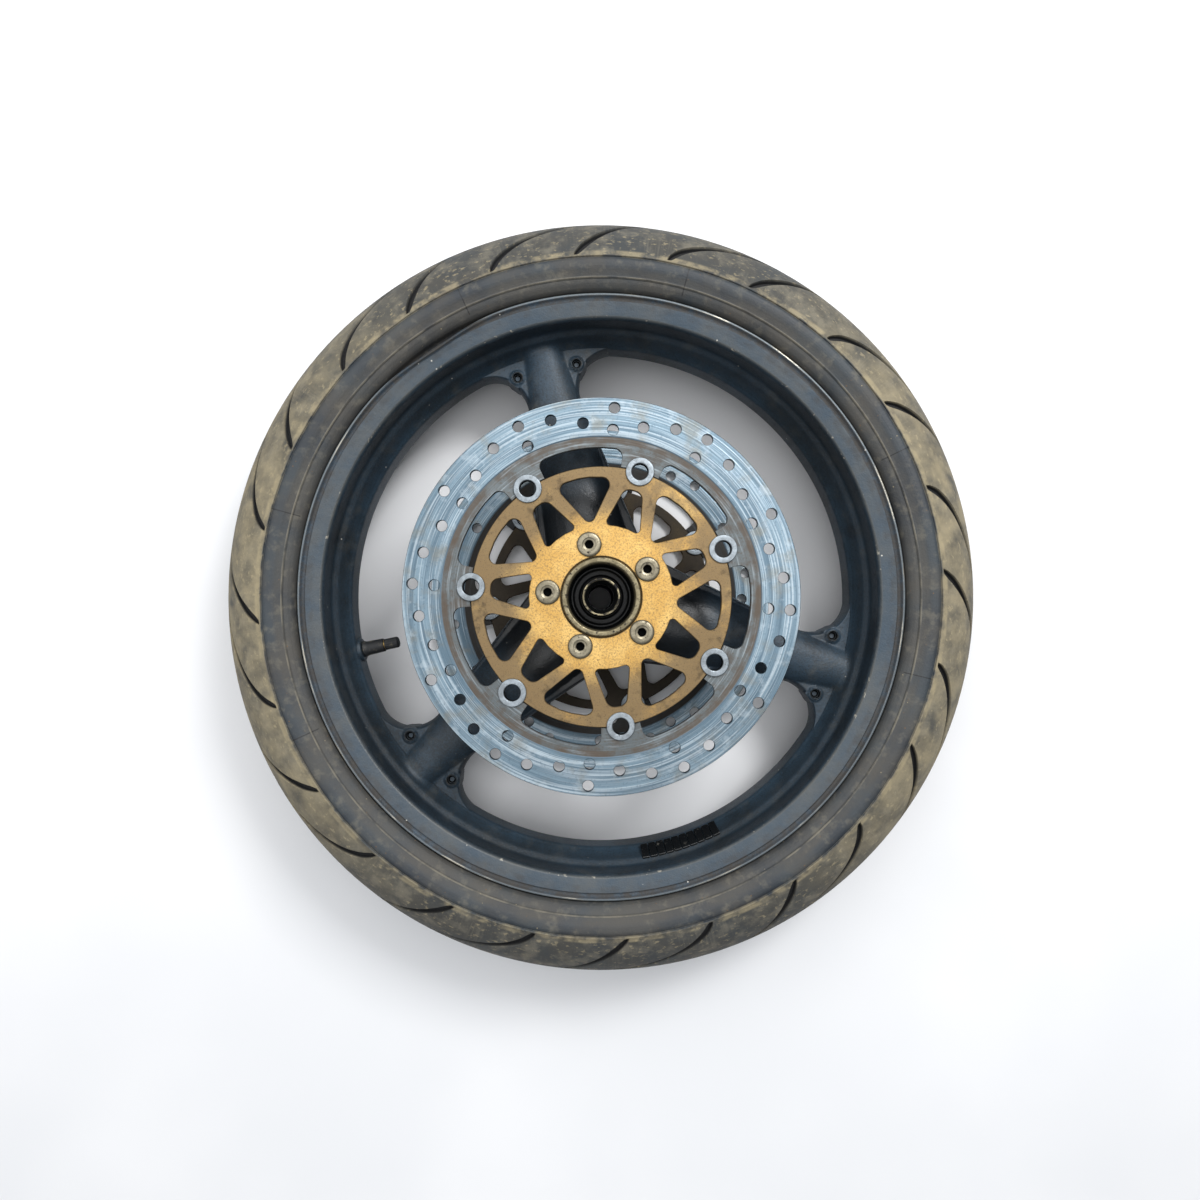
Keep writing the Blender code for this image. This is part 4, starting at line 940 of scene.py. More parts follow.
@dataclass
class Tyre:
    """The radial road tyre, with slanting sipes that start at the tread's edge.

    Attributes:
        radius: Outer radius.
        arc: Radius of the tread's section.
        edge: Half of the tread's arc.
        pitch: Angle from one groove of a kind to its next.
        first: Where the first long groove and the first short one start.
        slope: Sideways run of each kind, per unit of tread arc.
        curl: Growth of that run, per degree of tread arc.
        groove_end: Tread arc at which each kind ends.
        groove_rise: Tread arcs between which a groove reaches its depth.
        run_out: Tread arc over which it fades before its end.
        width_at: Tread arcs in degrees at which the half width is given.
        half_width: A groove's half width at those, in millimetres.
        sides: For each column of a groove, the side of its middle line that the column is on.
        insets: For each of them, its distance outwards from the groove's rim, in millimetres.
        depth: Depth of the grooves.
        columns: Grid columns for each groove, with the land beside it.
        shoulder: Arc from the crown to the line from which tread arcs are counted.
        follow: Tread arcs where the columns begin to follow the grooves, follow them, begin to leave them and
            have left them.
        even_start: Angle by which the first evenly spread column lies back.
        outer_shift: Turn of the evenly spread columns on the sidewall.
        crown_shift: Turn of the evenly spread columns at the crown.
    """

    radius: float = 0.300
    arc: float = 0.062
    edge: float = math.radians(70)
    pitch: float = math.radians(30)
    first: tuple[float, float] = (math.radians(4.3), math.radians(18.6))
    slope: tuple[float, float] = (0.17, 0.12)
    curl: tuple[float, float] = (0.0018, 0.0061)
    groove_end: tuple[float, float] = (math.radians(57), math.radians(52))
    groove_rise: tuple[float, float] = (math.radians(-0.5), math.radians(1.5))
    run_out: float = math.radians(4)
    width_at: tuple[float, ...] = (0, 3, 11, 30, 57)
    half_width: tuple[float, ...] = (1.6, 2.5, 3.1, 2.6, 1.4)
    sides: tuple[int, ...] = (-1, -1, -1, 0, 1, 1, 1)
    insets: tuple[float, ...] = (-0.8, 0, 0.7, 0, -0.7, 0, 0.8)
    depth: float = 0.0035
    columns: int = 16
    shoulder: float = math.radians(72)
    follow: tuple[float, ...] = (math.radians(-16), math.radians(-6), math.radians(60), math.radians(71))
    even_start: float = math.radians(2.8125)
    outer_shift: float = math.radians(3.95)
    crown_shift: float = math.radians(-19)

    def half_section(self) -> Array:
        """The upper half from the crown over the sidewall and back inside to below the crown."""
        angle = np.linspace(0, self.edge, 46)
        centre = self.radius - self.arc
        tread = np.column_stack([centre + self.arc * np.cos(angle), self.arc * np.sin(angle)])
        wall = softened([
            (0.2592, 0.0583, 0), (0.2574, 0.0592, 0.0005), (0.2561, 0.0602, 0.0003),
            (0.2554, 0.0600, 0.0003), (0.2550, 0.0590, 0.0003), (0.2545, 0.0590, 0.0003),
            (0.2540, 0.0600, 0.0003), (0.2520, 0.0607, 0.0008), (0.2478, 0.0604, 0.0020),
            (0.2446, 0.0588, 0.0010), (0.2414, 0.0572, 0.0006), (0.2408, 0.0572, 0.0003),
            (0.2402, 0.0565, 0.0003), (0.2396, 0.0557, 0.0003), (0.2380, 0.0551, 0.0008),
            (0.2360, 0.0539, 0.0010), (0.2338, 0.0520, 0.0010), (0.2324, 0.0490, 0.0010),
            (0.2322, 0.0440, 0.0005), (0.2310, 0.0425, 0), (0.2210, 0.0425, 0), (0.2210, 0.0320, 0),
            (0.2500, 0.0520, 0.0080), (0.2860, 0.0200, 0.0150), (0.2900, 0, 0), (0.2600, 0, 0)], 2)
        return np.vstack([tread, refined(wall[1:-1], 7 * MM, closed=False)])

    def groove_angle(self, kind: Array, reach: Array) -> tuple[Array, Array]:
        """How far round each kind of groove has run, and how fast it runs there.

        The run is slope · t + curl · t², with t the tread arc from the edge in degrees, and the rate is its
        derivative.

        Args:
            kind: 0 for a long groove, 1 for a short one.
            reach: Tread arc from the edge.

        Returns:
            The run and the rate, which has no unit.
        """
        slope, curl = np.array(self.slope)[kind], np.array(self.curl)[kind]
        degrees = np.degrees(reach)
        return np.radians(slope * degrees + curl * degrees**2), slope + 2 * curl * degrees

    def upper(self) -> tuple[Array, Array]:
        """Points and groove depths of the upper half, rows along the section and columns round the axle.

        Columns follow the grooves from just outside the tread's edge nearly to the crown, and spread evenly
        elsewhere. Seven columns cross a groove: its two rims, its walls and its floor.
        """
        section = self.half_section()
        steps = np.linalg.norm(np.diff(section, axis=0), axis=1)
        along = np.concatenate([[0], np.cumsum(steps)])
        reach = (self.shoulder - along / self.arc)[:, None]
        radius, height = section[:, :1], section[:, 1:]
        groups = 2 * round(TURN / self.pitch)
        kind = np.arange(groups) % 2
        start = np.array(self.first)[kind] + self.pitch * (np.arange(groups) // 2)
        enter, entered, leave, left = self.follow
        held = np.clip(reach, entered, leave)
        run, rate = self.groove_angle(kind, held)
        middle = start - run
        half = np.interp(np.degrees(held), self.width_at, self.half_width) * MM
        spread = np.sqrt(1 + (radius * rate / self.arc) ** 2) / radius
        across = np.array(self.sides) * half[..., None] + np.array(self.insets) * MM
        cut = middle[..., None] + across * spread[..., None]
        ahead = np.roll(cut[..., 0], -1, axis=1)
        ahead[:, -1] += TURN
        share = np.linspace(0, 1, self.columns - len(self.sides) + 2)[1:-1]
        land = cut[..., -1:] * (1 - share) + ahead[..., None] * share
        follows = np.concatenate([cut, land], axis=-1).reshape(len(section), -1)
        count = groups * self.columns
        crown = smooth_step(reach, leave, left)
        even = np.arange(count) * TURN / count - self.even_start
        even = even + self.outer_shift * (1 - crown) + self.crown_shift * crown
        weight = smooth_step(reach, enter, entered) * (1 - crown)
        angle = follows * weight + even * (1 - weight)
        ends = np.array(self.groove_end)[kind]
        deep = smooth_step(reach, *self.groove_rise) * (1 - smooth_step(reach, ends - self.run_out, ends))
        # The groove's floor is the three columns between its walls.
        floor = np.zeros(self.columns)
        floor[2:5] = 1
        depth = (deep[..., None] * floor).reshape(len(section), -1)
        tilt = np.clip(self.shoulder - reach, 0, self.edge)
        radius = radius - depth * self.depth * np.cos(tilt)
        height = height - depth * self.depth * np.sin(tilt)
        return round_axle(radius, angle, height), depth

    def build(self, finish: RoadRubber) -> bpy.types.Object:
        """Makes the tyre: the lower half is the upper one mirrored and rolled on by half a pitch.

        Args:
            finish: The rubber's look.

        Returns:
            The tyre.
        """
        points, depth = self.upper()
        half_pitch = self.pitch / 2
        around = np.array(placed(half_pitch))[:3, :3]
        lower = np.roll(points, self.columns, axis=1) @ around.T * np.array([1, 1, -1])
        lower_depth = np.roll(depth, self.columns, axis=1)
        loop = np.concatenate([points, lower[-2:0:-1]])
        marks = {"groove": np.concatenate([depth, lower_depth[-2:0:-1]]).ravel()}
        shell = Shell(loop.reshape(-1, 3), grid_faces(*loop.shape[:2]), marks)
        tyre = shell.built("road_tyre", math.radians(50))
        return dress(tyre, finish.material(), "wheel", "tyre_rubber", "tyre")


# Casting


@dataclass
class SpokeShape:
    """The flat web that joins hub and rim, its three openings, and the rounded crown along each spoke.

    Attributes:
        count: Number of spokes.
        first: Angle of the first.
        edge: Where the spoke's edge line would cross the axle's cross line.
        taper: Fall of the edge line per unit of length.
        outer_fillet: Radius of the openings' outer corners.
        outer_reach: Radius of the openings' outer edge.
        inner_fillet: Radius of the openings' inner corner.
        web: Half thickness of the web.
        rounding: Width of the web's rounded edge.
        crown_at: Two distances from the axle.
        crown_width: The crown's half width at those.
        crown_height: The crown's half height at those.
        squareness: Power of the crown's section.
        below: Height given beside the crown, where the web is always the higher.
        fillet: Height difference over which crown and web blend.
        hub_end: Distances from the axle between which the web's rounded edge begins.
    """

    count: int = 3
    first: float = math.radians(103.3)
    edge: float = 0.04934
    taper: float = 0.17
    outer_fillet: float = 0.030
    outer_reach: float = 0.2024
    inner_fillet: float = 0.015
    web: float = 0.0110
    rounding: float = 0.0035
    crown_at: tuple[float, float] = (0.0600, 0.1975)
    crown_width: tuple[float, float] = (0.0330, 0.0165)
    crown_height: tuple[float, float] = (0.0250, 0.0190)
    squareness: float = 2.3
    below: float = -0.02
    fillet: float = 0.009
    hub_end: tuple[float, float] = (0.053, 0.058)

    def angles(self) -> Array:
        """The angle of each spoke."""
        return self.first + TURN / self.count * np.arange(self.count)

    def half_angle(self, radius: Array) -> Array:
        """Half the angle that a spoke takes at a radius.

        Inside the openings it is a third of a turn's half. Along the inner corner, the edge line and the
        outer corner it is what the arc, the line and the arc leave, found from where they cross that radius.

        Args:
            radius: Distance from the axle.

        Returns:
            The half angle.
        """
        length = math.hypot(1, self.taper)
        lean = math.atan(self.taper)
        offset = self.edge / length
        apart = math.pi / self.count
        inner = (offset + self.inner_fillet) / math.sin(apart + lean)
        outer = self.outer_reach - self.outer_fillet
        outer_angle = math.asin((offset + self.outer_fillet) / outer) - lean
        inner_end = math.sqrt(inner**2 - (offset + self.inner_fillet) ** 2 + offset**2)
        outer_start = math.sqrt(outer**2 - (offset + self.outer_fillet) ** 2 + offset**2)
        on_line = np.arcsin(np.clip(offset / radius, -1, 1)) - lean
        inner_cos = (radius**2 + inner**2 - self.inner_fillet**2) / (2 * radius * inner)
        outer_cos = (radius**2 + outer**2 - self.outer_fillet**2) / (2 * radius * outer)
        on_inner = apart - np.arccos(np.clip(inner_cos, -1, 1))
        on_outer = outer_angle - np.arccos(np.clip(outer_cos, -1, 1))
        zones = [radius <= inner - self.inner_fillet, radius <= inner_end, radius <= outer_start]
        return np.select(zones, [np.full_like(radius, apart), on_inner, on_line], on_outer)

    def crown(self, radius: Array, angle: Array) -> Array:
        """Height of the crown: h (1 − |y / w|ᵖ)^(1/p) at a sideways distance y, and below zero beyond w.

        Args:
            radius: Distance from the axle.
            angle: Angle from the spoke's middle.

        Returns:
            The height above the middle plane.
        """
        width = np.interp(radius, self.crown_at, self.crown_width)
        height = np.interp(radius, self.crown_at, self.crown_height)
        side = np.abs(radius * np.sin(angle)) / width
        inside = np.clip(1 - side**self.squareness, 0, None) ** (1 / self.squareness)
        return np.where(side < 1, height * inside, self.below)

    def height(self, radius: Array, angle: Array) -> Array:
        """Height of a spoke's face: the web with its rounded edge, blended with the crown.

        Args:
            radius: Distance from the axle.
            angle: Angle from the spoke's middle.

        Returns:
            The height above the middle plane.
        """
        inset = (self.half_angle(radius) - np.abs(angle)) * radius
        inset = inset + self.rounding * (1 - smooth_step(radius, *self.hub_end))
        share = np.clip(1 - inset / self.rounding, 0, 1)
        web = self.web * np.sqrt(1 - share**2)
        return smooth_max(web, self.crown(radius, angle), self.fillet)


@dataclass
class Casting:
    """The painted casting: rim, spokes and hub, with the lips of the core holes and the valve's boss.

    Attributes:
        shape: Web and crowns.
        hole_circle: Radius on which the core holes stand.
        hole_angle: Their angle from the spoke's middle.
        hole: Radius of a core hole.
        hole_depth: Depth of the dimple that the hole's lip stands in.
        boss: Radius of the boss round it.
        boss_height: Its height above the web.
        near: Half angle beside each spoke in which the rim's columns are close together.
        fine_columns: Number of columns there.
        coarse_columns: Number of columns between two such parts.
        crown_end: Radius up to which a crown runs on over the rim.
        crown_top: Height up to which it does.
        wall_height: Heights at which the middle of the rim's wall is given.
        wall_radius: Its radius at those.
        lip_radius: Radii between which the dent sets in.
        lip_height: Heights between which it does.
        dent: Angle of the lip's dent.
        dent_depth: How far the lip is pushed in there.
        dent_reach: Half angle over which it fades.
    """

    shape: SpokeShape = field(default_factory=SpokeShape)
    hole_circle: float = 0.1900
    hole_angle: float = math.radians(7.4)
    hole: float = 0.0034
    hole_depth: float = 0.004
    boss: float = 0.0060
    boss_height: float = 0.0018
    near: float = math.radians(22)
    fine_columns: int = 96
    coarse_columns: int = 72
    crown_end: float = 0.2130
    crown_top: float = 0.0275
    wall_height: tuple[float, ...] = (0, 0.0095, 0.0250, 0.0300, 0.060)
    wall_radius: tuple[float, ...] = (0.2038, 0.2040, 0.2148, 0.2152, 0.2152)
    lip_radius: tuple[float, float] = (0.221, 0.230)
    lip_height: tuple[float, float] = (0.040, 0.047)
    dent: float = math.radians(124)
    dent_depth: float = 0.0035
    dent_reach: float = math.radians(9)

    def rim_section(self) -> Array:
        """The closed section of the rim: tyre side, lip, outer face, slope and well."""
        half = [
            (0.2060, 0.0095, 0.0040), (0.2175, 0.0240, 0.0030), (0.2180, 0.0440, 0.0010),
            (0.2293, 0.04445, 0.0020), (0.2313, 0.0465, 0.0012), (0.2313, 0.0500, 0.0010),
            (0.2306, 0.0510, 0.0008), (0.2293, 0.0510, 0.0008), (0.2278, 0.0494, 0.0012),
            (0.2262, 0.0490, 0.0006), (0.2256, 0.0494, 0.0004), (0.2148, 0.0466, 0.0008),
            (0.2127, 0.0440, 0.0012), (0.2125, 0.0290, 0.0020), (0.2118, 0.0270, 0.0020),
            (0.2080, 0.0235, 0.0015), (0.2062, 0.0180, 0.0020), (0.2035, 0.0120, 0.0010),
            (0.2015, 0.0095, 0.0015)]
        return refined(softened(mirrored(half), 3), 3.6 * MM)

    def around(self) -> Array:
        """Angles of the rim's columns, close together beside each spoke."""
        gap = TURN / self.shape.count - 2 * self.near
        fine = np.linspace(-self.near, self.near, self.fine_columns, endpoint=False)
        coarse = self.near + gap * np.linspace(0, 1, self.coarse_columns, endpoint=False)
        return (self.shape.angles()[:, None] + np.concatenate([fine, coarse])).ravel()

    def rim(self, finish: CastPaint) -> bpy.types.Object:
        """Makes the rim. Each crown runs on over the slope of its well, and the lip has a dent.

        Args:
            finish: The paint.

        Returns:
            The rim.
        """
        section = self.rim_section()
        angle = self.around()
        radius, height = section[:, :1], section[:, 1:]
        step = TURN / self.shape.count
        from_spoke = (angle - self.shape.first + step / 2) % step - step / 2
        reached = (radius < self.crown_end) & (np.abs(height) < self.crown_top)
        crown = self.shape.crown(radius, from_spoke)
        raised = np.sign(height) * smooth_max(np.abs(height), crown, self.shape.fillet)
        height = np.where(reached & self.hub_side(radius, height), raised, height)
        dent = np.exp(-(((angle - self.dent + math.pi) % TURN - math.pi) / self.dent_reach) ** 2)
        pushed = smooth_step(radius, *self.lip_radius) * smooth_step(height, *self.lip_height)
        radius = radius - self.dent_depth * dent * pushed
        points = round_axle(radius, angle, height).reshape(-1, 3)
        shell = Shell(points, grid_faces(len(section), len(angle)))
        rim = shell.built("wheel_rim", math.radians(35))
        return dress(rim, finish.material(lip=True), "wheel", "wheel_paint", "wheel_casting")

    def hub_side(self, radius: Array, height: Array) -> Array:
        """Which points of the rim's section face the axle: those inside the middle of its wall."""
        return radius < np.interp(np.abs(height), self.wall_height, self.wall_radius)

    def spokes(self, finish: CastPaint) -> bpy.types.Object:
        """Makes the three spokes as one piece, each a grid along its length and round its section.

        Args:
            finish: The paint.

        Returns:
            The spokes.
        """
        shape = self.shape
        dense = 1 - np.linspace(1, 0, 40) ** 2
        radius = np.concatenate([
            np.linspace(0.040, 0.0528, 6), 0.0530 + 0.012 * np.linspace(0, 1, 24) ** 2,
            np.linspace(0.0655, 0.1700, 78), 0.1712 + 0.0308 * dense])
        phase = np.radians(np.linspace(-90, 90, 80))
        half = shape.half_angle(radius)[:, None]
        angle = half * np.sin(phase)
        spread = np.broadcast_to(radius[:, None], angle.shape)
        height = shape.height(spread, angle)
        for side in (-1, 1):
            apart = polar(spread, angle) - polar(self.hole_circle, side * self.hole_angle)
            distance = np.linalg.norm(apart, axis=-1)
            boss = 1 - smooth_step(distance, self.boss - 1.2 * MM, self.boss + 0.8 * MM)
            raised = np.maximum(height, shape.web + self.boss_height * boss)
            height = np.where(distance < self.boss + 2 * MM, raised, height)
            dimple = 1 - smooth_step(distance, self.hole - 0.4 * MM, self.hole + 0.8 * MM)
            height = height - self.hole_depth * dimple
        flat = polar(spread, angle)
        top = np.concatenate([flat, height[..., None]], axis=-1)
        bottom = top[:, ::-1] * np.array([1, 1, -1])
        loop = np.concatenate([top, bottom], axis=1)
        faces = grid_faces(loop.shape[0], loop.shape[1], wrap_rows=False)
        one = Shell(loop.reshape(-1, 3), faces)
        shells = [one.placed(placed(turn)) for turn in shape.angles()]
        spokes = merged(shells).built("wheel_spokes", math.radians(40))
        return dress(spokes, finish.material(lip=False), "wheel", "wheel_paint", "wheel_casting")

    def liners(self, finish: SmallMetal) -> bpy.types.Object:
        """Makes the worn lips and the floors of the core holes, painted near black inside as painted shade.

        Args:
            finish: Their metal.

        Returns:
            The lips, both faces of all spokes as one piece.
        """
        top = self.shape.web + self.boss_height
        offsets = [(-0.0002, -0.0042), (-0.0002, -0.0004), (0.0003, 0.0002), (0.0012, 0.0002)]
        lip = [(self.hole + out, top + up, 0.0003) for out, up in offsets]
        ends = [(self.hole + 0.0015, top - 0.0020, 0), (0, top - 0.0052, 0)]
        cup = lathe(softened([(0, top - 0.0042, 0), *lip, *ends], 3), 28, closed=False)
        both = merged([cup, Shell(cup.points * np.array([1, 1, -1]), cup.faces[:, ::-1], cup.marks)])
        turns = [turn + side * self.hole_angle for turn in self.shape.angles() for side in (-1, 1)]
        cups = [both.placed(placed(turn, self.hole_circle)) for turn in turns]
        liners = merged(cups).built("core_hole_lips", math.radians(35))
        return dress(liners, finish.material(), "wheel", "wheel_paint", "wheel_casting")

    def hub(self, finish: SmallMetal) -> bpy.types.Object:
        """Makes the hub with its disc flanges, its lips and the seats of the bearings.

        Args:
            finish: The lips' metal.

        Returns:
            The hub.
        """
        half = [
            (0.0450, 0.0380, 0.0030), (0.0500, 0.0427, 0.0015), (0.0500, 0.0522, 0.0008),
            (0.0300, 0.0522, 0.0003), (0.0300, 0.0590, 0.0006), (0.0292, 0.0603, 0.0006),
            (0.0262, 0.0603, 0.0008), (0.0250, 0.0588, 0.0010), (0.0250, 0.0453, 0.0005),
            (0.0238, 0.0453, 0.0003), (0.0238, 0.0247, 0.0003), (0.0210, 0.0247, 0.0005)]
        hub = spun(mirrored(half), 3 * MM, 144).built("wheel_hub", math.radians(30))
        return dress(hub, finish.material(), "wheel", "wheel_paint", "wheel_casting")


# Brake discs


@dataclass
class Brake:
    """One side's floating disc: rotor, carrier, bobbins and bolts.

    Attributes:
        side: The side of the wheel.
        plane: Height of the disc's middle plane.
        line: Angle of the line about which the left set is turned over to make the right one.
        radius: Outer radius of the rotor.
        thickness: Thickness of the rotor.
        bobbins: Number of bobbins.
        bobbin_circle: Radius on which they stand.
        bobbin_angle: Angle of the first.
        tab: Radius at which the rotor's tabs end.
        tab_half: Half angle of a tab.
        window: Outer radius of the rotor's windows.
        band: Inner radius of the swept band.
        carrier_thickness: Thickness of the carrier.
        bolts: Number of bolts.
        bolt_circle: Radius on which they stand.
        bolt_angle: Angle of the first.
        drillings: Number of places round the band that are drilled.
        drilling_angle: Angle of the first.
        drilling: Radius of a hole.
        drilling_rows: Shares of the band's width at which the holes' rows stand.
        bore: Radius of the carrier's bore.
        bolt_hole: Radius of its bolt holes.
        large_half: Half angle of its large windows' outer edge.
        small_half: Half angle of its small windows' inner edge.
        window_inner: Radius of the small windows' inner edge.
        window_point: Radius of the large windows' inner corner.
        arm: What the large windows leave between them and the bobbins' circle.
        seat: What the small windows leave there.
        seat_half: Half width of the small windows at their outer end.
    """

    side: Side
    plane: float = 0.0550
    line: float = math.radians(103)
    radius: float = 0.1500
    thickness: float = 0.0045
    bobbins: int = 7
    bobbin_circle: float = 0.09825
    bobbin_angle: float = math.radians(21.4)
    tab: float = 0.09865
    tab_half: float = math.radians(8.6)
    window: float = 0.1125
    band: float = 0.1205
    carrier_thickness: float = 0.0050
    bolts: int = 5
    bolt_circle: float = 0.0404
    bolt_angle: float = math.radians(103)
    drillings: int = 36
    drilling_angle: float = math.radians(26)
    drilling: float = 0.00425
    drilling_rows: tuple[float, ...] = (0.186, 0.366, 0.593, 0.746)
    bore: float = 0.0305
    bolt_hole: float = 0.0042
    large_half: float = math.radians(14.6)
    small_half: float = math.radians(14.8)
    window_inner: float = 0.0545
    window_point: float = 0.0535
    arm: float = 0.0078
    seat: float = 0.0145
    seat_half: float = 0.0068

    def matrix(self) -> Array:
        """Puts the left set in place, and for the right one turns it half a turn about the line."""
        if self.side is Side.LEFT:
            return np.eye(4)
        cos, sin = math.cos(2 * self.line), math.sin(2 * self.line)
        return np.array([[cos, sin, 0, 0], [sin, -cos, 0, 0], [0, 0, -1, 0], [0, 0, 0, 1]])

    def bobbin_angles(self) -> Array:
        """The angle of each bobbin."""
        return self.bobbin_angle + TURN / self.bobbins * np.arange(self.bobbins)

    def bolt_angles(self) -> Array:
        """The angle of each bolt."""
        return self.bolt_angle + TURN / self.bolts * np.arange(self.bolts)

    def notch(self, edge: float, angle: float, outward: bool, radius: float = 0.0080) -> Array:
        """The half-round notch that holds a bobbin, where its circle crosses an edge of the plate.

        Args:
            edge: Radius of the plate's edge.
            angle: Angle of the bobbin.
            outward: Whether the notch bulges away from the axle.
            radius: The notch's own radius.

        Returns:
            Points from its start to its end, in the order of growing angle.
        """
        reach = self.bobbin_circle
        share = (edge**2 + reach**2 - radius**2) / (2 * edge * reach)
        half = math.acos(share)
        start = math.atan2(-edge * math.sin(half), edge * math.cos(half) - reach)
        sweep = -2 * start if outward else -2 * start - TURN
        return ring(polar(reach, angle), radius, 20, start + angle, sweep)

    def edge_between(self, edge: float, start: float, end: float, steps: int) -> Array:
        """Points of an arc about the axle, without its two ends."""
        return polar(edge, np.linspace(start, end, steps + 1)[1:-1])

    def rotor_outlines(self) -> list[Array]:
        """The rotor's outer edge, its inner edge with tabs and windows, and its drilled holes."""
        step = TURN / self.bobbins
        corners = []
        for angle in self.bobbin_angles():
            first, last = angle - self.tab_half, angle + self.tab_half
            notch = self.notch(self.tab, angle, outward=True)
            ends = np.arctan2(notch[[0, -1], 1], notch[[0, -1], 0])
            near, far = (ends - angle + math.pi) % TURN - math.pi + angle
            tab = [polar(self.tab, first)[None], self.edge_between(self.tab, first, near, 4), notch,
                   self.edge_between(self.tab, far, last, 4), polar(self.tab, last)[None]]
            corners += [(x, y, 0.0) for x, y in np.vstack(tab)]
            shares = np.array([0, 0.24, 0.32, 0.41, 0.5, 0.59, 0.68, 0.76, 1])
            window = polar(self.window, last + (step - 2 * self.tab_half) * shares)
            sizes = [0.0072, 0, 0, 0, 0, 0, 0, 0, 0.0072]
            corners += [(x, y, size) for (x, y), size in zip(window, sizes)]
        outlines = [ring(np.zeros(2), self.radius, 240), rounded(corners)]
        rows = self.band + (self.radius - self.band) * np.array(self.drilling_rows)
        # In each group of three places the first has two holes and the others one each, in turn high and low.
        for k in range(self.drillings):
            group, place = divmod(k, 3)
            chosen = rows[[0, 3]] if place == 0 else rows[[1 if (group + place) % 2 else 2]]
            angle = self.drilling_angle + TURN / self.drillings * k
            outlines += [ring(polar(r, angle), self.drilling, 24) for r in chosen]
        return outlines

    def rotor(self, finish: DiscSteel) -> bpy.types.Object:
        """Makes the rotor.

        Args:
            finish: Its steel.

        Returns:
            The rotor.
        """
        name = f"{self.side.value}_rotor"
        place = self.matrix() @ placed(height=self.plane)
        rotor = plate(f"{name}_plate", self.rotor_outlines(), self.thickness, 0.30 * MM, place)
        return dress(rotor, finish.material(), name, "disc_steel", name)

    def carrier_outlines(self) -> list[Array]:
        """The carrier's notched edge, its bore, its bolt holes and its windows."""
        edge = self.bobbin_circle - 0.0002
        step = TURN / self.bobbins
        outer = []
        for angle in self.bobbin_angles():
            notch = self.notch(edge, angle, outward=False)
            start = math.atan2(notch[-1, 1], notch[-1, 0])
            first = (start - angle + math.pi) % TURN - math.pi
            outer += [notch, self.edge_between(edge, angle + first, angle + step - first, 24)]
        outlines = [np.vstack(outer), ring(np.zeros(2), self.bore, 120)]
        outlines += [ring(polar(self.bolt_circle, turn), self.bolt_hole, 24) for turn in self.bolt_angles()]
        large_round, point_round, small_round, corner_round = 0.0062, 0.0045, 0.0066, 0.0030
        end = self.bobbin_circle - self.seat
        end_half = math.atan(self.seat_half / end)
        inner = self.window_inner
        small = [(end, -end_half, small_round), (end, end_half, small_round),
                 (inner, self.small_half, corner_round), (inner, 0.3 * self.small_half, 0),
                 (inner, -0.3 * self.small_half, 0), (inner, -self.small_half, corner_round)]
        for angle in self.bobbin_angles():
            between = angle + step / 2
            turns = between + self.large_half * np.array([-1, -0.2, 0, 0.2, 1])
            arc = polar(self.bobbin_circle - self.arm, turns)
            sizes = [large_round, 0, 0, 0, large_round]
            large = [(x, y, size) for (x, y), size in zip(arc, sizes)]
            outlines.append(rounded([*large, (*polar(self.window_point, between), point_round)], 10))
            outlines.append(rounded([(*polar(r, angle + turn), size) for r, turn, size in small], 8))
        return outlines

    def carrier(self, finish: GoldAnodising) -> bpy.types.Object:
        """Makes the carrier.

        Args:
            finish: Its anodising.

        Returns:
            The carrier.
        """
        name = f"{self.side.value}_carrier"
        place = self.matrix() @ placed(height=self.plane)
        carrier = plate(f"{name}_plate", self.carrier_outlines(), self.carrier_thickness, 0.45 * MM, place)
        return dress(carrier, finish.material(), "wheel", "gold_anodising", name)

    def bobbin_set(self, finish: SmallMetal) -> bpy.types.Object:
        """Makes the bobbins: hollow rivets with a chamfered flange over each face.

        Args:
            finish: Their steel.

        Returns:
            The bobbins as one piece.
        """
        half = [
            (0.00765, 0.00285, 0.0001), (0.0107, 0.00285, 0.0002), (0.0107, 0.0037, 0.0004),
            (0.0103, 0.0041, 0.0003), (0.0068, 0.0041, 0.0003), (0.0064, 0.0038, 0.0002),
            (0.0062, 0.0032, 0.0003), (0.0060, 0.0020, 0.0004)]
        one = lathe(softened(mirrored(half), 3), 48)
        places = [placed(turn, self.bobbin_circle, self.plane) for turn in self.bobbin_angles()]
        shells = [one.placed(self.matrix() @ place) for place in places]
        bobbins = merged(shells).built(f"{self.side.value}_bobbins", math.radians(35))
        nodes = [f"{self.side.value}_bobbin_{k + 1}" for k in range(self.bobbins)]
        return dress(bobbins, finish.material(), "wheel", "bright_steel", *nodes)

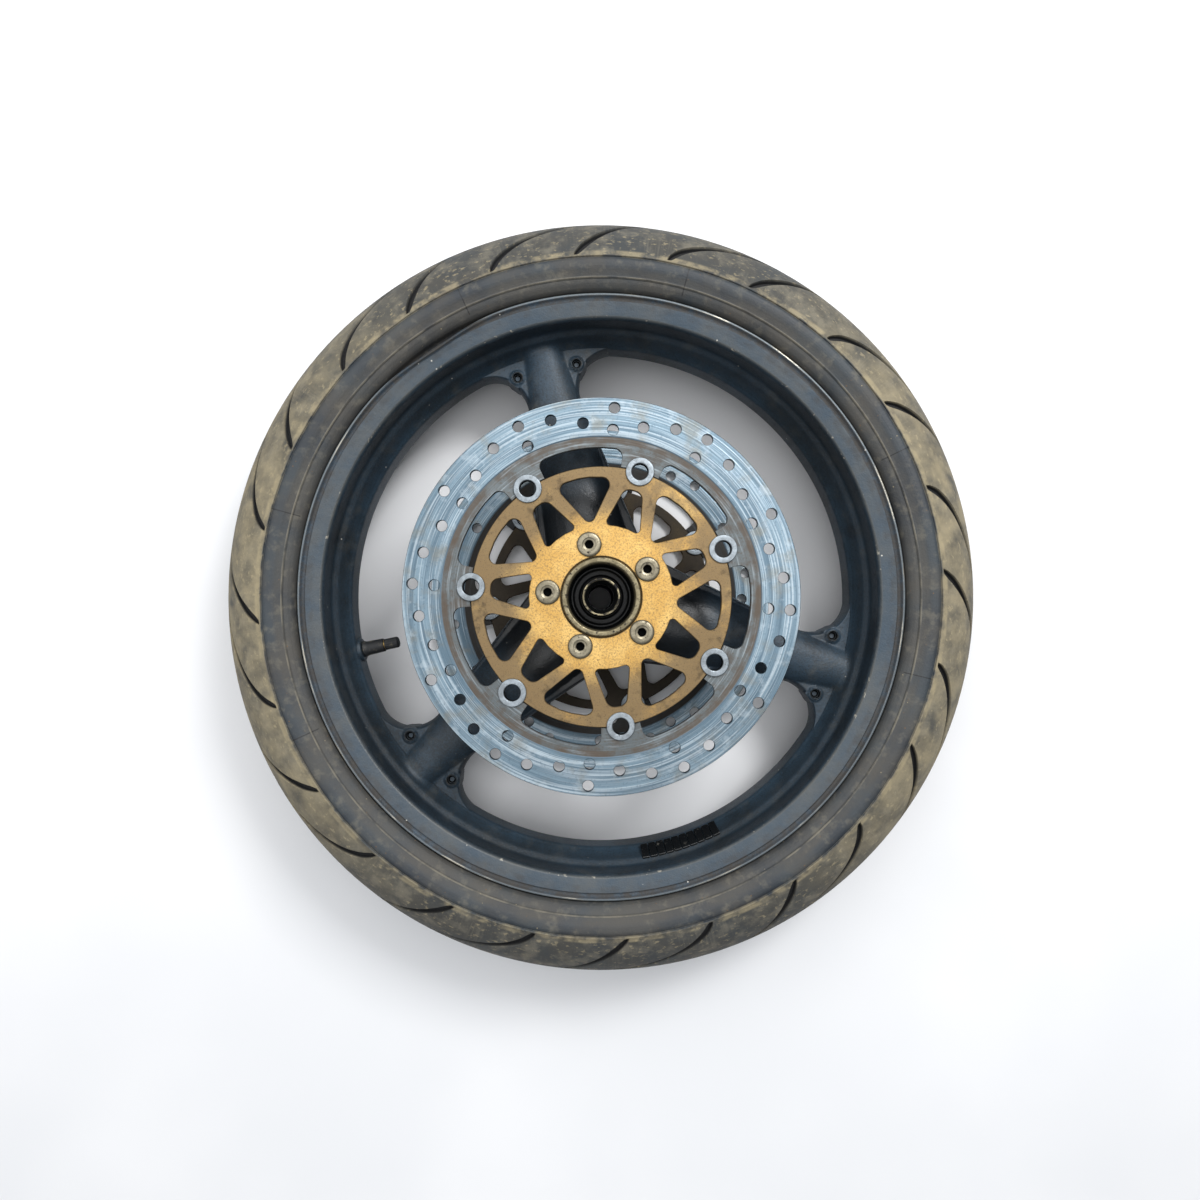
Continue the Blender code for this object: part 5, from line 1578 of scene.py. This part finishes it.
    def bolt_set(self, finish: SmallMetal, dice: np.random.Generator) -> bpy.types.Object:
        """Makes the low-head bolts, each with its socket turned another way.

        Args:
            finish: Their steel.
            dice: Source of the turns.

        Returns:
            The bolts as one piece.
        """
        rows = np.array([
            (0, -1.9, 0), (1.4, -1.9, 1), (2.95, -1.8, 1), (3.0, 1.2, 1), (3.12, 1.5, 0.9),
            (3.3, 1.62, 0.5), (3.9, 1.75, 0), (4.9, 1.9, 0), (5.3, 2.2, 0), (7.0, 2.2, 0),
            (8.3, 1.95, 0), (9.1, 1.35, 0), (9.4, 0.7, 0), (9.35, 0.1, 0), (9.0, 0, 0), (3.9, 0, 0),
            (3.9, -14.7, 0), (0, -14.7, 0)])
        rows = rows * np.array([MM, MM, 1])
        one = lathe(rows[:, :2], 48, closed=False, six_sided=rows[:, 2])
        height = self.plane + self.carrier_thickness / 2 + 0.3 * MM
        shells = []
        for turn in self.bolt_angles():
            loose = one.placed(placed(dice.uniform(0, TURN)))
            shells.append(loose.placed(self.matrix() @ placed(turn, self.bolt_circle, height)))
        bolts = merged(shells).built(f"{self.side.value}_bolts", math.radians(30))
        nodes = [f"{self.side.value}_disc_bolt_{k + 1}" for k in range(self.bolts)]
        return dress(bolts, finish.material(), "wheel", "bright_steel", *nodes)


# Axle line, valve and weights


@dataclass
class AxleLine:
    """The collars that take the axle and the seals round them.

    Attributes:
        side: The side of the wheel.
    """

    side: Side

    def matrix(self) -> Array:
        """The side's place: the right one is the left turned over."""
        return Brake(self.side).matrix()

    def collar(self, finish: SmallMetal) -> bpy.types.Object:
        """Makes the collar, with the step inside its end.

        Args:
            finish: Its metal.

        Returns:
            The collar.
        """
        corners = [
            (0.0101, 0.0393, 0.0003), (0.01425, 0.0393, 0.0003), (0.01425, 0.0575, 0.0005),
            (0.0128, 0.0575, 0.0004), (0.0128, 0.0545, 0.0003), (0.0112, 0.0545, 0.0004),
            (0.0112, 0.0525, 0.0003), (0.0101, 0.0525, 0.0004),
        ]
        name = f"{self.side.value}_collar"
        collar = spun(corners, 2 * MM, 96).placed(self.matrix()).built(f"{name}_ring", math.radians(30))
        return dress(collar, finish.material(), "axle_sleeve", "bright_steel", name)

    def seal(self, finish: BlackCoat) -> bpy.types.Object:
        """Makes the dust seal, dished between its outer ring and its lip.

        Args:
            finish: Its rubber.

        Returns:
            The seal.
        """
        corners = [
            (0.01465, 0.0395, 0.0003), (0.0235, 0.0393, 0.0003), (0.0235, 0.0451, 0.0005),
            (0.0222, 0.0453, 0.0004), (0.0214, 0.0450, 0.0004), (0.0205, 0.0438, 0.0008),
            (0.0172, 0.0434, 0.0008), (0.0160, 0.0446, 0.0006), (0.0152, 0.0450, 0.0004),
            (0.01465, 0.0440, 0.0003)]
        name = f"{self.side.value}_dust_seal"
        seal = spun(corners, 2 * MM, 96).placed(self.matrix()).built(f"{name}_ring", math.radians(40))
        return dress(seal, finish.material(), "wheel", "black_rubber", name)


@dataclass
class Valve:
    """The snap-in valve that points from the rim's well to the axle.

    Attributes:
        angle: Its angle.
        seat: Radius of the well's hub-side surface.
        ribs: Number of ribs round the cap.
        rib_depth: Their depth as a share of the cap's radius.
    """

    angle: float = math.radians(192.2)
    seat: float = 0.2015
    ribs: int = 18
    rib_depth: float = 0.06

    def matrix(self) -> Array:
        """Leans a piece that stands up so that its top points to the axle."""
        return placed(self.angle, self.seat, lean=-math.pi / 2)

    def stem(self, finish: BlackCoat) -> bpy.types.Object:
        """Makes the rubber stem, with its bulb inside the rim and its foot outside.

        Args:
            finish: Its rubber.

        Returns:
            The stem.
        """
        corners = [
            (0.0040, -0.0100, 0.0002), (0.0062, -0.0100, 0.0008), (0.0082, -0.0050, 0.0006),
            (0.0056, -0.0048, 0.0003), (0.0056, 0.0029, 0.0003), (0.0068, 0.0029, 0.0006),
            (0.0066, 0.0042, 0.0010), (0.0058, 0.0060, 0.0012), (0.0057, 0.0100, 0.0010),
            (0.0054, 0.0197, 0.0005), (0.0050, 0.0200, 0.0003), (0.0040, 0.0200, 0.0002),
        ]
        stem = spun(corners, 2 * MM, 40).placed(self.matrix()).built("valve_stem", math.radians(45))
        return dress(stem, finish.material(), "wheel", "black_rubber", "valve_rubber")

    def tube(self, finish: SmallMetal) -> bpy.types.Object:
        """Makes the threaded brass tube; its thread is a row of rings of saw-tooth section.

        Args:
            finish: Its brass.

        Returns:
            The tube.
        """
        up = np.arange(0.0207, 0.0296, 0.0004)
        ridge = np.where(np.arange(len(up)) % 2, 0.0034, 0.0037)
        outer = [(0.0037, -0.0095), *zip(ridge, up), (0.0035, 0.0300)]
        section = np.array([(0.0022, -0.0095), *outer, (0.0022, 0.0300)])
        tube = lathe(section, 32).placed(self.matrix()).built("valve_thread", math.radians(50))
        return dress(tube, finish.material(), "wheel", "brass", "valve_tube")

    def cap(self, finish: BlackCoat) -> bpy.types.Object:
        """Makes the cap, whose side has fine ribs: its radius swells and shrinks once for each of them.

        Args:
            finish: Its plastic.

        Returns:
            The cap.
        """
        section = softened([
            (0, 0.0308, 0), (0.0040, 0.0308, 0.0002), (0.0040, 0.0206, 0.0001), (0.0046, 0.0206, 0.0004),
            (0.0046, 0.0306, 0.0008), (0.0038, 0.0320, 0.0008), (0, 0.0320, 0)], 4)
        shell = lathe(refined(section, 1.5 * MM, closed=False), 144, closed=False)
        points = shell.points
        angle = np.arctan2(points[:, 1], points[:, 0])
        radius, height = shell.marks["reach"], points[:, 2]
        ribbed = smooth_step(radius, 0.0043, 0.0045) * smooth_step(height, 0.0212, 0.0220)
        ribbed = ribbed * (1 - smooth_step(height, 0.0298, 0.0306))
        points[:, :2] *= (1 - ribbed * self.rib_depth * (0.5 - 0.5 * np.cos(self.ribs * angle)))[:, None]
        cap = shell.placed(self.matrix()).built("valve_screw_cap", math.radians(50))
        return dress(cap, finish.material(), "valve_cap", "black_rubber", "valve_cap")

    def boss(self, finish: CastPaint) -> bpy.types.Object:
        """Makes the flat boss of the casting that the valve sits on.

        Args:
            finish: Its paint.

        Returns:
            The boss.
        """
        corners = [
            (0.0059, -0.0030, 0.0003), (0.0100, -0.0030, 0.0003), (0.0097, 0.0014, 0.0010),
            (0.0089, 0.0026, 0.0008), (0.0059, 0.0026, 0.0004)]
        boss = spun(corners, 1.5 * MM, 48).placed(self.matrix()).built("valve_boss", math.radians(45))
        return dress(boss, finish.material(lip=False), "wheel", "wheel_paint", "wheel_casting")


@dataclass
class Weights:
    """The strip of stick-on balance weights on the upper slope of the rim's well.

    Attributes:
        start: Angle of the strip's start.
        sweep: Its whole angle.
        segments: Number of weights in it.
        gap: Share of each weight's angle that is left free.
        foot: Radius and height at the foot of the slope that they lie on.
        slope: The slope's direction and length, from there.
        taken: Shares of the slope between which they lie.
        lift: Distances of their two faces from the slope.
        rounding: Rounding of the section's corners.
        squareness: Power that shapes the ends.
    """

    start: float = math.radians(-81)
    sweep: float = math.radians(18)
    segments: int = 10
    gap: float = 0.10
    foot: tuple[float, float] = (0.2015, 0.0095)
    slope: tuple[float, float] = (0.0110, 0.0165)
    taken: tuple[float, float] = (0.18, 0.88)
    lift: tuple[float, float] = (0.0003, 0.0037)
    rounding: float = 0.0008
    squareness: int = 14

    def build(self, finish: BlackCoat) -> bpy.types.Object:
        """Makes the strip. Each weight is a section carried along its arc and drawn in at both ends.

        The section's size at a share s of the way is (1 − |2s − 1|ᵖ)^(1/p) of its full size.

        Args:
            finish: The weights' lacquer.

        Returns:
            The weights as one piece.
        """
        foot, slope = np.array(self.foot), np.array(self.slope)
        off = np.array([-slope[1], slope[0]]) / np.linalg.norm(slope)
        (start, end), (low, high) = self.taken, self.lift
        corners = [(start, low), (end, low), (end, high), (start, high)]
        places = [foot + slope * share + off * lift for share, lift in corners]
        section = softened([(*place, self.rounding) for place in places], 3)
        middle = section.mean(axis=0)
        share = 0.5 - 0.5 * np.cos(np.linspace(0, math.pi, 13))
        size = np.clip(1 - np.abs(2 * share - 1) ** self.squareness, 0, None) ** (1 / self.squareness)
        pitch = self.sweep / self.segments
        angle = pitch * (self.gap / 2 + (1 - self.gap) * share)[:, None]
        loop = middle + (section - middle) * size[:, None, None]
        points = round_axle(loop[..., 0], angle, loop[..., 1])
        one = Shell(points.reshape(-1, 3), grid_faces(*points.shape[:2], wrap_rows=False))
        shells = [one.placed(placed(self.start + pitch * k)) for k in range(self.segments)]
        strip = merged(shells).built("balance_weight_strip", math.radians(50))
        return dress(strip, finish.material(), "wheel", "weight_lead", "balance_weights")


# Studio


@dataclass(frozen=True)
class PaleFloor:
    """A plain pale sheet under the object."""

    white: str = "e9e9ea"
    grey: str = "dedfe1"

    @functools.cache
    def material(self) -> bpy.types.Material:
        """Builds the material."""
        surface = Surface("pale floor", self.white, 0.9, 0.0)
        surface.cover(surface.clouds(0.8, 0.35, 0.65), self.grey)
        return surface.done()


@dataclass
class Studio:
    """Floor, soft light and camera.

    Attributes:
        floor: Height of the floor.
        floor_half: Half of its width.
        eye: The camera's place.
        aim: The point of the middle plane that the frame is centred on.
        lens: Its focal length in millimetres, for a sensor 36 mm wide.
        world: Strength of the even light from all round.
        power: Power of the large soft box in watts.
        key: Power of the smaller one, which gives the shadows their direction.
    """

    floor: float = -0.0610
    floor_half: float = 4
    eye: tuple[float, float, float] = (-0.0070, -0.0100, 0.660)
    aim: tuple[float, float] = (-0.0004, -0.0016)
    lens: float = 24.07
    world: float = 0.30
    power: float = 54.0
    key: float = 24.0

    def build(self, finish: PaleFloor) -> None:
        """Makes the floor, the lights and the camera.

        Args:
            finish: The floor's look.
        """
        ways = [(-1, -1), (1, -1), (1, 1), (-1, 1)]
        corners = np.array([(self.floor_half * x, self.floor_half * y, self.floor) for x, y in ways])
        floor = Shell(corners, np.array([[0, 1, 2, 3]])).built("floor")
        floor.data.materials.append(finish.material())
        scene = bpy.context.scene
        scene.view_settings.view_transform = "Standard"
        scene.world = bpy.data.worlds.new("studio")
        scene.world.use_nodes = True
        sky = scene.world.node_tree.nodes["Background"]
        sky.inputs["Color"].default_value = linear("e6ecf4")
        sky.inputs["Strength"].default_value = self.world
        self.soft_box("soft box", (-0.35, 0.45, 1.7), (3.4, 3.0), self.power)
        self.soft_box("key", (0.75, 0.95, 1.45), (0.55, 0.55), self.key)
        camera = bpy.data.objects.new("camera", bpy.data.cameras.new("camera"))
        camera.data.lens = self.lens
        camera.data.sensor_width = 36
        camera.location = self.eye
        seen = camera.data.sensor_width / self.lens * self.eye[2]
        camera.data.shift_x, camera.data.shift_y = ((self.aim[i] - self.eye[i]) / seen for i in (0, 1))
        scene.collection.objects.link(camera)
        scene.camera = camera

    def soft_box(self, name: str, place: tuple[float, float, float], size: tuple[float, float],
                 power: float) -> None:
        """Adds a rectangular light that faces the wheel.

        Args:
            name: Its name.
            place: Its centre.
            size: Its two sides.
            power: Its power in watts.
        """
        light = bpy.data.lights.new(name, "AREA")
        light.shape = "RECTANGLE"
        light.size, light.size_y = size
        light.energy = power
        box = bpy.data.objects.new(name, light)
        box.location = place
        box.rotation_euler = (-Vector(place)).to_track_quat("-Z", "Y").to_euler()
        bpy.context.scene.collection.objects.link(box)


def make_wheel(dice: np.random.Generator) -> None:
    """Makes and dresses every piece of the wheel.

    Args:
        dice: Source of the small differences between repeated pieces.
    """
    paint = CastPaint()
    casting, valve = Casting(), Valve()
    steps: list[Callable[[], bpy.types.Object]] = [
        lambda: Tyre().build(RoadRubber()),
        lambda: casting.rim(paint),
        lambda: casting.spokes(paint),
        lambda: casting.liners(LINER),
        lambda: casting.hub(WORN_LIP),
        lambda: valve.boss(paint),
        lambda: valve.stem(VALVE_RUBBER),
        lambda: valve.tube(BRASS),
        lambda: valve.cap(VALVE_RUBBER),
        lambda: Weights().build(WEIGHT_LACQUER),
    ]
    for side in Side:
        brake, line = Brake(side), AxleLine(side)
        steps += [
            lambda brake=brake: brake.rotor(DiscSteel()),
            lambda brake=brake: brake.carrier(GoldAnodising()),
            lambda brake=brake: brake.bobbin_set(BOBBIN_STEEL),
            lambda brake=brake: brake.bolt_set(PLATED, dice),
            lambda line=line: line.collar(COLLAR_STEEL),
            lambda line=line: line.seal(SEAL_RUBBER),
        ]
    for step in steps:
        piece = step()
        log.info("%s: %d faces", piece.name, len(piece.data.polygons))


def dress_nodes() -> None:
    """Gives the CAD nodes that stay in view their materials."""
    steel, grease_and_shade, brass = BEARING_STEEL.material(), GREASE_AND_SHADE.material(), BRASS.material()
    # The distance tube is near black: grease, and painted shade deep in the hub's bore.
    looks = {"distance_tube": grease_and_shade, "valve_core": brass, "valve_pin": brass}
    for side in Side:
        looks |= {f"{side.value}_bearing_{part}": steel for part in ("outer_race", "inner_race", "ball_cage")}
    for name, material in looks.items():
        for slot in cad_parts[name].material_slots:
            slot.material = material
        log.info("%s keeps its shape", name)


def main() -> None:
    """Builds the wheel and its studio."""
    logging.basicConfig(level=logging.INFO, format="%(message)s")
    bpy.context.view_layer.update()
    make_wheel(np.random.default_rng(7))
    dress_nodes()
    Studio().build(PaleFloor())
    bpy.context.view_layer.update()
    log.info("sizes written")


if __name__ == "__main__":
    main()
